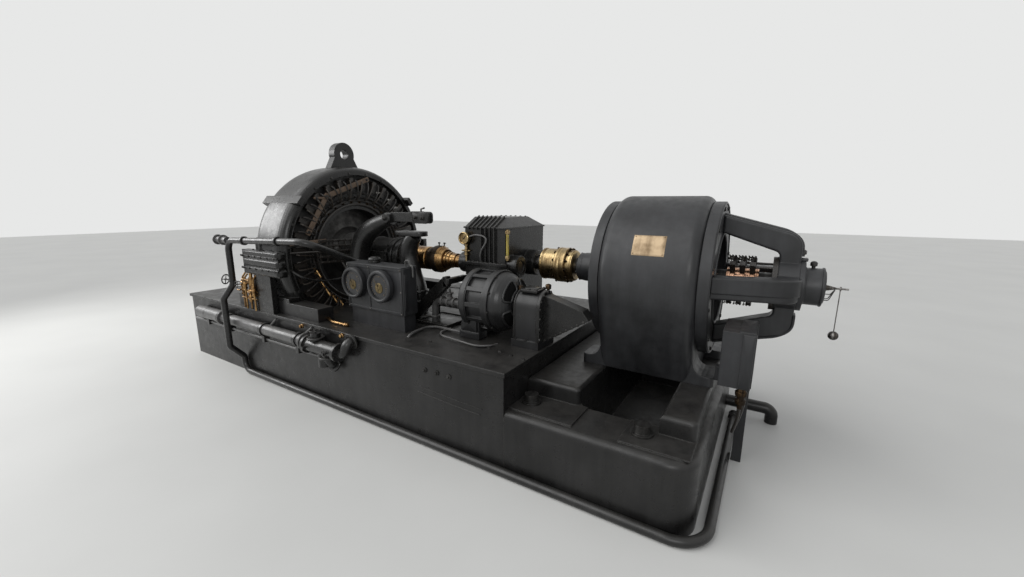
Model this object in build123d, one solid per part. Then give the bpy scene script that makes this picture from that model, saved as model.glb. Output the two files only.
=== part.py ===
from build123d import *
import os
from math import acos, atan2, cos, hypot, radians, sin, sqrt

os.makedirs("parts", exist_ok=True)

# High-frequency alternator set on one cast bed: a large split stator with a disc rotor, a step-up gear
# case, a slip-ring drive motor and a small motor-driven oil pump. All sizes are in millimetres.
# X runs along the shafts from the alternator to the motor, Y runs from the operator's side to the rear,
# and Z is up. The origin is on the floor at the middle of the bed.

# Fits and gaps between pieces
seat_gap = 0.3
running_gap = 0.08
moving_gap = 6.0

# Bed
bed_length = 5700.0
bed_width = 2300.0
motor_bed_length = 1200.0
bed_top = 735.0
top_plate_thickness = 30.0
top_plate_overhang = 18.0
motor_bed_height = 455.0
motor_bed_corner = 170.0
motor_bed_edge = 45.0
rail_height = 130.0
left_rail_width = 400.0
left_rail_inset = 330.0
right_rail_inset = 265.0
right_rail_width = 210.0
right_rail_edge = 45.0
rail_corner = 40.0
rail_edge = 28.0
pad_height = 10.0
pad_reach = 60.0
pad_inset = 62.0
pit_inset = 350.0
pit_floor = 60.0
bolt_inset = 215.0
left_bolt_offset = 95.0
right_bolt_offset = 345.0
foundation_bolt_radius = 48.0
foundation_bolt_height = 62.0
foundation_ring_radius = 70.0
foundation_ring_height = 12.0
side_rail_inset = 25.0
side_rail_length = 1400.0
side_rail_height = 125.0
side_rail_width = 160.0

# Shafts
shaft_height = 1280.0
alternator_axis_y = -205.0
gear_centre_distance = 320.0
gear_ratio = 2.973

# Alternator stator
stator_offset = 2755.0
stator_radius = 920.0
stator_width = 500.0
stator_edge = 120.0
stator_wall = 62.0
stator_ring_width = 92.0
stator_flange = 44.0
stator_foot_height = 40.0
stator_lug_length = 55.0
stator_lug_depth = 50.0
stator_lug_width = 90.0
stator_lug_angle = 38.0
eye_radius = 125.0
eye_thickness = 95.0
eye_hole_radius = 50.0
eye_rise = 135.0
eye_base_width = 360.0
header_lead = 350.0
header_length = 653.0
header_drop = 159.0
header_layer = 72.0
header_groove = 11.0
header_layers = 3
header_reach = 75.0
header_round = 22.0
header_leg_start = 115.0
header_leg_length = 300.0
header_leg_depth = 55.0
header_leg_inset = 40.0
armature_reach = 358.0
armature_gap = 9.0
armature_depth = 150.0
coil_count = 32
coil_circle_inset = 93.0
coil_length = 130.0
coil_width = 46.0
coil_depth = 62.0

# Alternator rotor, bearings and coupling
disc_gap = 16.0
disc_thickness = 40.0
rotor_hub_radius = 210.0
rotor_hub_length = 230.0
alternator_shaft_radius = 62.0
alternator_shaft_overhang = 60.0
bearing_offset = 690.0
bearing_radius = 175.0
bearing_length = 360.0
bearing_nose = 115.0
pedestal_near = 455.0
pedestal_length = 400.0
pedestal_width = 400.0
pedestal_base_width = 640.0
pedestal_base_height = 45.0
wing_length = 160.0
wing_reach = 380.0
wing_thickness = 50.0
high_coupling_offset = 1103.0
high_coupling_drum_length = 192.0
high_coupling_radius = 98.0
high_coupling_disc_radius = 128.0
high_coupling_disc_length = 75.0
high_coupling_collar_length = 65.0
high_coupling_cone_length = 60.0
high_coupling_hub_length = 190.0
high_coupling_hub_radius = 68.0
pinion_shaft_radius = 45.0

# Air horns and lever bars beside the alternator bearing. A horn's line is (x past the stator's middle,
# rise), over the wing for the first horn and over the bed for the second one
horn_radius = 66.0
horn_spread = 300.0
horn_foot_height = 1130.0
lever_height = 84.0
lever_thickness = 40.0
front_horn_line = ((542.0, 0.0), (624.0, 337.0), (785.0, 463.0), (1085.0, 560.0))
front_lever_length = 468.0
second_horn_radius = 62.0
second_horn_spread = 210.0
second_horn_line = ((1310.0, 0.0), (1290.0, 290.0), (1210.0, 500.0), (1177.0, 610.0), (1225.0, 720.0),
                    (1295.0, 800.0))
horn_foot_radius = 92.0
horn_foot_thickness = 26.0
horn_plate_offset = 1045.0
horn_plate_length = 360.0
horn_plate_width = 140.0
horn_plate_thickness = 46.0

# Gear case
gear_case_offset = 960.0
gear_case_length = 430.0
gear_case_wall = 16.0
gear_case_side_gap = 7.0
gear_case_eave_rise = 335.0
gear_case_ridge_rise = 418.0
gear_case_roof_run = 150.0
gear_case_hip = 90.0
eave_reach = 10.0
eave_thickness = 14.0
gear_flange_thickness = 26.0
gear_flange_reach = 28.0
gear_face_width = 260.0
wheel_shaft_radius = 60.0
bearing_boss_length = 88.0
pinion_boss_radius = 96.0
wheel_boss_radius = 118.0
rib_count = 7
rib_first = 50.0
rib_pitch = 46.0
rib_thickness = 12.0
rib_depth = 24.0
first_full_rib = 4
gauge_radius = 50.0
gauge_rise = 233.0
gauge_depth = 30.0
gauge_stand_off = 16.0
sight_tube_radius = 11.0
sight_tube_rise = 68.0
sight_tube_drop = 24.0

# Drive motor
motor_inset = 350.0
motor_length = 670.0
motor_radius = 600.0
motor_skirt_half_width = 430.0
motor_wall = 75.0
motor_edge = 68.0
motor_core_inset = 115.0
motor_air_gap = 12.0
left_foot_length = 139.0
right_foot_length = 140.0
motor_foot_thickness = 70.0
motor_foot_width = 240.0
motor_foot_sweep = 85.0
right_shield_thickness = 70.0
shield_radius = 560.0
right_shield_opening = 330.0
left_shield_depth = 100.0
left_neck_length = 360.0
left_neck_radius = 104.0
left_dish_radius = 250.0
motor_shaft_radius = 70.0
rotor_core_radius = 380.0
low_coupling_lead = 716.0
low_coupling_length = 320.0
low_coupling_radius = 138.0
low_coupling_groove = 10.0
arm_width = 150.0
arm_edge = 16.0
arm_root_outer = 467.0
arm_root_inner = 341.0
arm_shoulder_outer = 340.0
arm_shoulder_inner = 219.0
arm_reach = 485.0
arm_seat_depth = 125.0
arm_outer_bend = 110.0
arm_inner_bend = 40.0
bracket_ring_radius = 172.0
bearing_seat_radius = 140.0
bearing_collar_length = 30.0
motor_bearing_radius = 125.0
motor_bearing_reach = 149.0
end_cap_thickness = 18.0
slip_ring_count = 3
slip_ring_radius = 105.0
slip_ring_width = 26.0
slip_ring_offset = 75.0
slip_ring_pitch = 62.0
slip_ring_hub_radius = 90.0
rocker_length = 30.0
rocker_radius = 185.0
rocker_opening = 125.0
brush_rod_radius = 9.0
brush_rod_rise = 165.0
brush_rod_length = 250.0
brush_holder_width = 34.0
end_rod_length = 130.0
end_rod_radius = 6.0
end_rod_base_radius = 22.0
pendulum_offset = 87.0
pendulum_length = 319.0
pendulum_ball_radius = 30.0
pendulum_wire_radius = 3.0
pendulum_ring_radius = 14.0
pendulum_ring_width = 8.0

# Oil pump set, its drive cover as (x past the pump, rise over its axis) points and its oil pipe
pump_axis_y = -540.0
pump_axis_drop = 238.0
pump_motor_radius = 250.0
pump_offset = 660.0
pump_frame_length = 265.0
pump_frame_ring = 58.0
pump_frame_waist = 24.0
pump_left_bell_length = 60.0
pump_right_bell_length = 145.0
pump_bell_end_radius = 92.0
pump_shaft_radius = 24.0
pump_window_count = 12
pump_core_gap = 60.0
pump_foot_lead = 45.0
pump_foot_length = 180.0
pump_foot_near = 80.0
pump_foot_far = 165.0
pump_foot_drop = 42.0
pump_coupling_gap = 25.0
pump_length = 220.0
pump_half_width = 118.0
pump_plinth_height = 60.0
pump_plinth_reach = 14.0
pump_coupling_radius = 62.0
cover_thickness = 110.0
cover_line = ((0.0, -260.0), (0.0, 106.0), (312.0, 22.0), (361.0, -40.0))
oil_pipe_radius = 32.0
oil_pipe_lead = 285.0
oil_pipe_y = -399.0
oil_pipe_height = 900.0
oil_pipe_inset = 75.0
oil_pipe_bend = 55.0

# Instruments and cabinets
cabinet_offset = 1865.0
cabinet_width = 715.0
cabinet_front_y = -905.0
cabinet_depth = 170.0
cabinet_low = 885.0
cabinet_high = 1285.0
cabinet_edge = 20.0
dial_radius = 132.0
dial_depth = 42.0
dial_spacing = 340.0
dial_shift = -52.0
dial_drop = 165.0
terminal_box_gap = 178.0
terminal_box_width = 182.0
terminal_box_front_y = -490.0
terminal_box_depth = 350.0
terminal_box_low = 690.0
terminal_box_high = 1050.0
terminal_box_edge = 8.0
terminal_bracket_y = -290.0
terminal_bracket_width = 60.0
terminal_bracket_drop = 50.0
terminal_post_offset = 114.0
terminal_post_width = 63.0
terminal_post_depth = 40.0
terminal_post_top = 1000.0

# Pipes
floor_pipe_radius = 30.0
floor_pipe_gap = 3.0
floor_pipe_side_gap = 75.0
floor_pipe_end_y = 480.0
floor_pipe_corner = 200.0
floor_pipe_bend = 110.0
riser_bend = 55.0
union_length = 70.0
union_radius = 38.0
riser_offset = 575.0
riser_top_offset = 505.0
riser_bow = 127.0
riser_bow_low = 330.0
riser_bow_high = 840.0
riser_slope = 150.0
rail_pipe_gap = 5.0
rail_pipe_rise = 160.0
rail_pipe_end_offset = 805.0
rail_pipe_end_rise = 210.0
feed_pipe_y = -640.0
feed_pipe_drop = 50.0
main_pipe_radius = 55.0
main_pipe_gap = 5.0
main_pipe_height = 580.0
main_pipe_inset = 320.0
main_pipe_end_offset = 715.0
strap_width = 40.0
strap_thickness = 12.0
strap_places = (0.1, 0.33, 0.64, 0.91)
rod_radius = 14.0
rod_height = 480.0
rod_inset = 210.0
valve_length = 457.0
valve_gap = 4.0
valve_radius = 62.0
valve_flange_radius = 80.0
valve_flange_thickness = 26.0
valve_drop = 164.0
drain_radius = 48.0
drain_y = 640.0
drain_height = 120.0
drain_reach = 350.0
drain_bend = 60.0
cluster_offset = 285.0
cluster_drop = 165.0
cluster_radius = 26.0

# Places worked out from the sizes above
bed_left = -bed_length / 2
bed_right = bed_length / 2
bed_front = -bed_width / 2
bed_rear = bed_width / 2
plate_low = bed_top - top_plate_thickness
upper_bed_length = bed_length - motor_bed_length
step_x = bed_left + upper_bed_length
rail_top = motor_bed_height + rail_height
right_rail_start = bed_right - right_rail_edge - right_rail_width
pit_start = step_x + left_rail_width
motor_axis_y = alternator_axis_y + gear_centre_distance
pinion_radius = gear_centre_distance / (1 + gear_ratio)
wheel_radius = gear_centre_distance - pinion_radius
stator_middle_x = step_x - stator_offset
stator_left = stator_middle_x - stator_width / 2
stator_right = stator_middle_x + stator_width / 2
stator_inner_radius = stator_radius - stator_wall
stator_opening_radius = stator_radius - stator_ring_width
stator_reach = stator_radius - side_rail_inset
armature_inner_radius = stator_opening_radius - armature_reach
coil_circle_radius = stator_opening_radius - coil_circle_inset
disc_radius = stator_opening_radius - disc_gap
side_rail_top = bed_top + side_rail_height
stator_foot_inner = sqrt(stator_radius ** 2 - (shaft_height - side_rail_top) ** 2) - stator_wall / 2
header_start = stator_middle_x - header_lead
header_low = shaft_height - header_drop
header_height = header_layers * header_layer + (header_layers - 1) * header_groove
cluster_x = stator_middle_x - cluster_offset
horn_plate_start = stator_middle_x + horn_plate_offset
second_horn_y = alternator_axis_y - second_horn_spread
riser_x = stator_middle_x - riser_offset
riser_top_x = stator_middle_x - riser_top_offset
rail_pipe_y = alternator_axis_y - stator_radius - header_reach - rail_pipe_gap - floor_pipe_radius
rail_pipe_end_x = stator_middle_x + rail_pipe_end_offset
rail_pipe_height = shaft_height + rail_pipe_rise
rail_pipe_end_height = shaft_height + rail_pipe_end_rise
feed_pipe_height = shaft_height - feed_pipe_drop
armature_start = disc_thickness / 2 + armature_gap
armature_face = armature_start + armature_depth
high_coupling_start = stator_middle_x + high_coupling_offset
high_coupling_split = high_coupling_start + high_coupling_drum_length / 2
gear_case_start = step_x - gear_case_offset
gear_case_end = gear_case_start + gear_case_length
gear_case_middle = gear_case_start + gear_case_length / 2
gear_case_front_y = alternator_axis_y - pinion_radius - gear_case_side_gap - gear_case_wall
gear_case_rear_y = motor_axis_y + wheel_radius + gear_case_side_gap + gear_case_wall
gear_case_throat_y = motor_axis_y - wheel_radius - gear_case_side_gap - gear_case_wall
motor_start = step_x + motor_inset
left_neck_start = motor_start - left_neck_length
low_coupling_start = motor_start - low_coupling_lead
low_coupling_split = low_coupling_start + low_coupling_length / 2
motor_end = motor_start + motor_length
shield_face_x = motor_end + right_shield_thickness
arm_tip_x = shield_face_x + arm_reach
arm_inner_x = arm_tip_x - arm_seat_depth
motor_bearing_end = arm_tip_x + motor_bearing_reach
slip_ring_start = shield_face_x + slip_ring_offset
pump_axis_height = shaft_height - pump_axis_drop
pump_frame_start = step_x - pump_offset
pump_foot_start = pump_frame_start - pump_foot_lead
pump_frame_end = pump_frame_start + pump_frame_length
pump_bell_end = pump_frame_end + pump_right_bell_length
pump_start = pump_bell_end + pump_coupling_gap
pump_end = pump_start + pump_length
oil_pipe_start = gear_case_start - oil_pipe_lead
oil_pipe_turn = gear_case_start + oil_pipe_inset
cabinet_start = step_x - cabinet_offset
terminal_box_start = motor_end + terminal_box_gap
terminal_post_start = terminal_box_start + terminal_post_offset
terminal_box_rear_y = terminal_box_front_y + terminal_box_depth
main_pipe_y = bed_front - main_pipe_gap - main_pipe_radius
main_pipe_start = bed_left + main_pipe_inset
main_pipe_end = stator_middle_x + main_pipe_end_offset
rod_start = bed_left + rod_inset
valve_x = main_pipe_end + valve_length / 2
valve_y = bed_front - valve_gap - valve_flange_radius
floor_pipe_side_x = bed_right + floor_pipe_side_gap
floor_pipe_y = bed_front - floor_pipe_gap - floor_pipe_radius
drain_x = bed_right + drain_reach


def block(low, high):
    size = [high[k] - low[k] for k in range(3)]
    return Pos(*low) * Box(*size, align=(Align.MIN, Align.MIN, Align.MIN))


def upright(radius, length):
    return Cylinder(radius, length, align=(Align.CENTER, Align.CENTER, Align.MIN))


def rod_x(start, end, y, z, radius):
    return Pos(start, y, z) * Rot(0, 90, 0) * upright(radius, end - start)


def rod_y(x, start, end, z, radius):
    return Pos(x, start, z) * Rot(-90, 0, 0) * upright(radius, end - start)


def rod_z(x, y, low, high, radius):
    return Pos(x, y, low) * upright(radius, high - low)


def turned_x(profile, y, z):
    # A profile of (x, radius) points turned about the shaft line at (y, z).
    face = make_face(Polyline(*profile, close=True))
    return Pos(0, y, z) * revolve(face, Axis.X, 360)


def end_profile(points, x_low, x_high):
    # A profile of (y, z) points carried along the shafts from x_low to x_high.
    wire = Polyline(*[(0, py, pz) for py, pz in points], close=True)
    return Pos(x_low, 0, 0) * extrude(make_face(wire), amount=x_high - x_low, dir=(1, 0, 0))


def side_profile(points, y_low, y_high):
    # A profile of (x, z) points carried across the bed from y_low to y_high.
    wire = Polyline(*[(px, 0, pz) for px, pz in points], close=True)
    return Pos(0, y_low, 0) * extrude(make_face(wire), amount=y_high - y_low, dir=(0, 1, 0))


def along(path, radius):
    return sweep(Plane(origin=path @ 0, z_dir=path % 0) * Circle(radius), path=path)


def stator_cylinder(radius):
    return rod_x(bed_left, 0, alternator_axis_y, shaft_height, radius)


def save(name, *solids):
    shape = solids[0] if len(solids) == 1 else Compound(children=list(solids))
    export_step(shape, f"parts/{name}.step")


def make_bed():
    slot = rod_x(stator_left - moving_gap, stator_right + moving_gap,
                 alternator_axis_y, shaft_height, stator_radius + moving_gap)
    save("upper_bed", block((bed_left, bed_front, 0), (step_x, bed_rear, plate_low)) - slot)
    plate = block((bed_left - top_plate_overhang, bed_front - top_plate_overhang, plate_low),
                  (step_x + top_plate_overhang, bed_rear + top_plate_overhang, bed_top))
    save("bed_top_plate", plate - slot)
    lower = block((step_x, bed_front, 0), (bed_right, bed_rear, motor_bed_height))
    lower = fillet(lower.edges().filter_by(Axis.Z).group_by(Axis.X)[-1], motor_bed_corner)
    rim = lower.faces().sort_by(Axis.Z)[-1].edges()
    lower = fillet(rim - rim.group_by(Axis.X)[0], motor_bed_edge)
    left_front = bed_front + left_rail_inset
    left_rail = block((step_x, left_front, motor_bed_height), (pit_start, -left_front, rail_top))
    right_front = bed_front + right_rail_inset
    right_rail = block((right_rail_start, right_front, motor_bed_height),
                       (right_rail_start + right_rail_width, -right_front, rail_top))
    rails = []
    for rail in (left_rail, right_rail):
        rail = fillet(rail.edges().filter_by(Axis.Z).group_by(Axis.X)[-1], rail_corner)
        rails.append(fillet(rail.faces().sort_by(Axis.Z)[-1].edges(), rail_edge))
    pads = []
    for side in (-1, 1):
        for low, high in ((step_x, pit_start + pad_reach),
                          (bed_right - right_bolt_offset - foundation_ring_radius - pad_reach / 2,
                           right_rail_start + right_rail_width)):
            outer = side * (bed_rear - pad_inset)
            inner = side * (bed_rear - pit_inset - pad_reach)
            pad = block((low, min(outer, inner), motor_bed_height),
                        (high, max(outer, inner), motor_bed_height + pad_height))
            pads.append(pad)
    pit = block((pit_start, bed_front + pit_inset, pit_floor),
                (right_rail_start, bed_rear - pit_inset, bed_top))
    pit = fillet(pit.edges().filter_by(Axis.Z), rail_corner)
    save("motor_bed", lower + rails[0] + rails[1] + pads - pit)
    bolts = []
    for bolt_x in (step_x + left_bolt_offset, bed_right - right_bolt_offset):
        for bolt_y in (bed_front + bolt_inset, bed_rear - bolt_inset):
            seat = motor_bed_height + pad_height
            ring = rod_z(bolt_x, bolt_y, seat, seat + foundation_ring_height, foundation_ring_radius)
            nut = rod_z(bolt_x, bolt_y, seat, seat + foundation_bolt_height, foundation_bolt_radius)
            bolts.append(ring + nut)
    save("foundation_bolts", *bolts)


def make_side_rails():
    # The rails lie on the bed on both sides of the slot and carry the feet of the stator.
    low_x = stator_middle_x - side_rail_length / 2
    high_x = stator_middle_x + side_rail_length / 2
    cut = rod_x(stator_left - moving_gap, stator_right + moving_gap,
                alternator_axis_y, shaft_height, stator_radius + seat_gap)
    rails = []
    for side in (-1, 1):
        far = alternator_axis_y + side * stator_reach
        near = far - side * side_rail_width
        rail = block((low_x, min(near, far), bed_top), (high_x, max(near, far), side_rail_top))
        rails.append(rail - cut)
    save("side_rails", *rails)


def make_stator():
    half = stator_width / 2
    lip = half - stator_flange
    # The outer edge is a quarter oval, deeper along the shaft than across the rim.
    rim_drop = (stator_radius - stator_opening_radius) * 0.6
    oval = []
    for k in range(7):
        turn = radians(15 * k)
        oval.append((half - stator_edge * (1 - sin(turn)), stator_radius - rim_drop * (1 - cos(turn))))
    profile = [(-px, pr) for px, pr in reversed(oval)] + oval + [
        (half, stator_opening_radius), (lip, stator_opening_radius), (lip, stator_inner_radius),
        (-lip, stator_inner_radius), (-lip, stator_opening_radius), (-half, stator_opening_radius),
    ]
    shell = Pos(stator_middle_x, 0, 0) * turned_x(profile, alternator_axis_y, shaft_height)
    inside = rod_x(stator_middle_x - lip, stator_middle_x + lip,
                   alternator_axis_y, shaft_height, stator_inner_radius)
    opening = stator_cylinder(stator_opening_radius)
    angle = radians(stator_lug_angle)
    upper = shell
    for side in (-1, 1):
        lug_y = alternator_axis_y + side * (stator_radius - stator_lug_depth / 2) * cos(angle)
        lug_z = shaft_height + (stator_radius - stator_lug_depth / 2) * sin(angle)
        lug = Pos(stator_middle_x, lug_y, lug_z) * Rot(-side * (90 - stator_lug_angle), 0, 0)
        upper += lug * Box(stator_width + 2 * stator_lug_length, stator_lug_width, stator_lug_depth)
    reach = stator_radius * 2
    above = block((stator_left - reach, -reach, shaft_height), (stator_right + reach, reach, reach * 2))
    save("stator_upper_half", (upper - inside - opening) & above)
    lower = shell
    for side in (-1, 1):
        far = alternator_axis_y + side * stator_reach
        near = alternator_axis_y + side * stator_foot_inner
        lower += block((stator_left, min(near, far), side_rail_top),
                       (stator_right, max(near, far), side_rail_top + stator_foot_height))
    save("stator_lower_half", lower - inside - opening - above)
    eye_z = shaft_height + stator_radius + eye_rise
    base_z = shaft_height + sqrt(stator_radius ** 2 - (eye_base_width / 2) ** 2) - 1
    low_x = stator_middle_x - eye_thickness / 2
    high_x = stator_middle_x + eye_thickness / 2
    web = end_profile([(-eye_base_width / 2, base_z), (eye_base_width / 2, base_z),
                       (eye_radius * 0.95, eye_z - eye_radius * 0.3),
                       (-eye_radius * 0.95, eye_z - eye_radius * 0.3)], low_x, high_x)
    eye = Pos(0, alternator_axis_y, 0) * (web + rod_x(low_x, high_x, 0, eye_z, eye_radius))
    eye -= rod_x(low_x - 1, high_x + 1, alternator_axis_y, eye_z, eye_hole_radius)
    save("lifting_eye", eye - stator_cylinder(stator_radius + seat_gap))


def make_headers():
    # Three stacked, rounded headers stand on a leg beside the split of the stator on each side.
    headers = []
    for side in (-1, 1):
        far = alternator_axis_y + side * (stator_radius + header_reach)
        near = alternator_axis_y + side * (stator_radius - header_reach)
        inner_far = far - side * header_groove
        stack = block((header_start + header_groove, min(near, inner_far), header_low),
                      (header_start + header_length - header_groove, max(near, inner_far),
                       header_low + header_height))
        for k in range(header_layers):
            low = header_low + k * (header_layer + header_groove)
            layer = block((header_start, min(near, far), low),
                          (header_start + header_length, max(near, far), low + header_layer))
            edges = layer.edges().filter_by(Axis.Z).sort_by(Axis.Y)
            layer = fillet(edges[:2] if side == -1 else edges[-2:], header_reach * 0.6)
            rims = layer.faces().sort_by(Axis.Z)[0].edges() + layer.faces().sort_by(Axis.Z)[-1].edges()
            stack += fillet([e for e in rims if abs(e.center().Y - near) > 1], header_round)
        leg_far = far - side * header_leg_inset
        leg_near = leg_far - side * header_leg_depth
        stack += block((header_start + header_leg_start, min(leg_far, leg_near), bed_top),
                       (header_start + header_leg_start + header_leg_length, max(leg_far, leg_near),
                        header_low + header_layer / 2))
        headers.append(stack - stator_cylinder(stator_radius + seat_gap))
    save("coolant_headers", *headers)
    y = alternator_axis_y - stator_radius - header_reach / 2
    stem = rod_z(cluster_x, y, header_low - cluster_drop, header_low, cluster_radius * 0.6)
    body = rod_z(cluster_x, y, header_low - cluster_drop * 0.8, header_low - cluster_drop * 0.3,
                 cluster_radius)
    arm = rod_x(cluster_x - cluster_drop, cluster_x, y, header_low - cluster_drop * 0.55,
                cluster_radius * 0.8)
    save("coolant_valve", stem + body + arm)


def make_armature():
    rings = []
    coils = []
    for side in (-1, 1):
        near = stator_middle_x + side * armature_start
        far = stator_middle_x + side * armature_face
        low, high = min(near, far), max(near, far)
        ring = rod_x(low, high, alternator_axis_y, shaft_height, stator_inner_radius - seat_gap)
        rings.append(ring - rod_x(low, high, alternator_axis_y, shaft_height, armature_inner_radius))
        for k in range(coil_count):
            coil = Pos(far + side * coil_depth / 2, alternator_axis_y, shaft_height)
            coil *= Rot(360 * (k + 0.5) / coil_count, 0, 0) * Pos(0, coil_circle_radius, 0)
            coils.append(coil * Box(coil_depth, coil_length, coil_width))
    save("armature_rings", *rings)
    save("coil_terminals", *coils)


def make_alternator_bearings():
    pedestals = []
    caps = []
    y, z = alternator_axis_y, shaft_height
    half, base = pedestal_width / 2, pedestal_base_width / 2
    knee = bed_top + pedestal_base_height
    for side in (-1, 1):
        middle = stator_middle_x + side * bearing_offset
        near = stator_middle_x + side * pedestal_near
        far = near + side * pedestal_length
        low, high = min(near, far), max(near, far)
        nose = bearing_nose if side == 1 else 0
        housing = rod_x(middle - bearing_length / 2, middle + bearing_length / 2 + nose,
                        y, z, bearing_radius)
        bore = rod_x(low - bearing_length, high + bearing_length, y, z,
                     alternator_shaft_radius + running_gap)
        column = end_profile([(y - base, bed_top), (y + base, bed_top), (y + base, knee),
                              (y + half, knee + pedestal_base_height), (y + half, z), (y - half, z),
                              (y - half, knee + pedestal_base_height), (y - base, knee)], low, high)
        if side == 1:
            column += block((near, y - wing_reach, horn_foot_height - wing_thickness),
                            (near + wing_length, y, horn_foot_height))
        ear = block((low, y - half, z), (high, y + half, z + wing_thickness))
        above = block((low - bearing_length, bed_front, z), (high + bearing_length, bed_rear, z * 2))
        pedestals.append(column + (housing - above) - bore)
        caps.append((housing & above) + ear - bore)
    save("bearing_pedestals", *pedestals)
    save("bearing_caps", *caps)


def make_horns():
    # The first horn stands on the wing of the bearing pedestal and carries the lever bar. The second
    # one stands on the bed in front of the coupling and carries a flat plate under that bar.
    front_y, y = alternator_axis_y - horn_spread, second_horn_y
    middle = stator_middle_x
    front = [(middle + px, front_y, horn_foot_height + rise) for px, rise in front_horn_line]
    second = [(middle + px, y, bed_top + rise) for px, rise in second_horn_line]
    front_horn = along(Spline(*front, tangents=[(0, 0, 1), (1, 0, 0)]), horn_radius)
    front_horn += rod_z(front[0][0], front_y, horn_foot_height, horn_foot_height + horn_foot_thickness,
                        horn_foot_radius * 0.85)
    second_horn = along(Spline(*second, tangents=[(0, 0, 1), (1, 0, 1)]), second_horn_radius)
    second_horn += rod_z(second[0][0], y, bed_top, bed_top + horn_foot_thickness, horn_foot_radius)
    plate_z = second[-1][2] - horn_plate_thickness / 2
    plate = block((horn_plate_start, y - horn_plate_width / 2, plate_z),
                  (horn_plate_start + horn_plate_length, y + horn_plate_width / 2,
                   plate_z + horn_plate_thickness))
    plate = fillet(plate.edges().filter_by(Axis.Z), horn_plate_width / 3)
    above = block((bed_left, bed_front, plate_z), (bed_right, bed_rear, plate_z * 2))
    save("air_horns", front_horn, (second_horn - above) + plate)
    tip_x, tip_z = front[-1][0], front[-1][2]
    half = lever_thickness / 2
    save("lever_bars", block((tip_x, front_y - half, tip_z - lever_height / 2),
                             (tip_x + front_lever_length, front_y + half, tip_z + lever_height / 2)))


def make_alternator_rotor():
    y, z = alternator_axis_y, shaft_height
    shaft_start = stator_middle_x - bearing_offset - bearing_length / 2 - alternator_shaft_overhang
    save("alternator_shaft", rod_x(shaft_start, high_coupling_split, y, z, alternator_shaft_radius))
    half, hub = disc_thickness / 2, rotor_hub_length / 2
    bore = alternator_shaft_radius + seat_gap
    profile = [(-hub, bore), (-hub, rotor_hub_radius), (-half * 2, rotor_hub_radius * 1.3),
               (-half, rotor_hub_radius * 2), (-half, disc_radius), (half, disc_radius),
               (half, rotor_hub_radius * 2), (half * 2, rotor_hub_radius * 1.3),
               (hub, rotor_hub_radius), (hub, bore)]
    save("rotor_disc", Pos(stator_middle_x, 0, 0) * turned_x(profile, y, z))
    drum_end = high_coupling_start + high_coupling_drum_length
    collar_end = drum_end + high_coupling_collar_length
    disc_end = collar_end + high_coupling_disc_length
    cone_end = disc_end + high_coupling_cone_length
    hub_end = disc_end + high_coupling_hub_length
    coupling = turned_x([
        (high_coupling_start, 0), (high_coupling_start, high_coupling_radius),
        (drum_end, high_coupling_radius), (drum_end, high_coupling_radius * 1.06),
        (collar_end, high_coupling_radius * 1.06), (collar_end, high_coupling_disc_radius),
        (disc_end, high_coupling_disc_radius), (cone_end, high_coupling_radius),
        (cone_end, high_coupling_hub_radius), (hub_end, high_coupling_hub_radius), (hub_end, 0),
    ], y, z)
    coupling -= rod_x(high_coupling_start, high_coupling_split + seat_gap, y, z, bore)
    coupling -= rod_x(high_coupling_split + seat_gap, hub_end, y, z, pinion_shaft_radius + seat_gap)
    save("high_speed_coupling", coupling)
    low = gear_case_middle - gear_face_width / 2
    high = gear_case_middle + gear_face_width / 2
    shaft = rod_x(high_coupling_split + seat_gap, gear_case_end + bearing_boss_length,
                  y, z, pinion_shaft_radius)
    save("pinion_shaft", shaft + rod_x(low, high, y, z, pinion_radius - seat_gap))


def gear_case_rods(pinion_rod, wheel_rod):
    low, high = gear_case_start - bearing_boss_length, gear_case_end + bearing_boss_length
    first = rod_x(low, high, alternator_axis_y, shaft_height, pinion_rod)
    return first + rod_x(low, high, motor_axis_y, shaft_height, wheel_rod)


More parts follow.
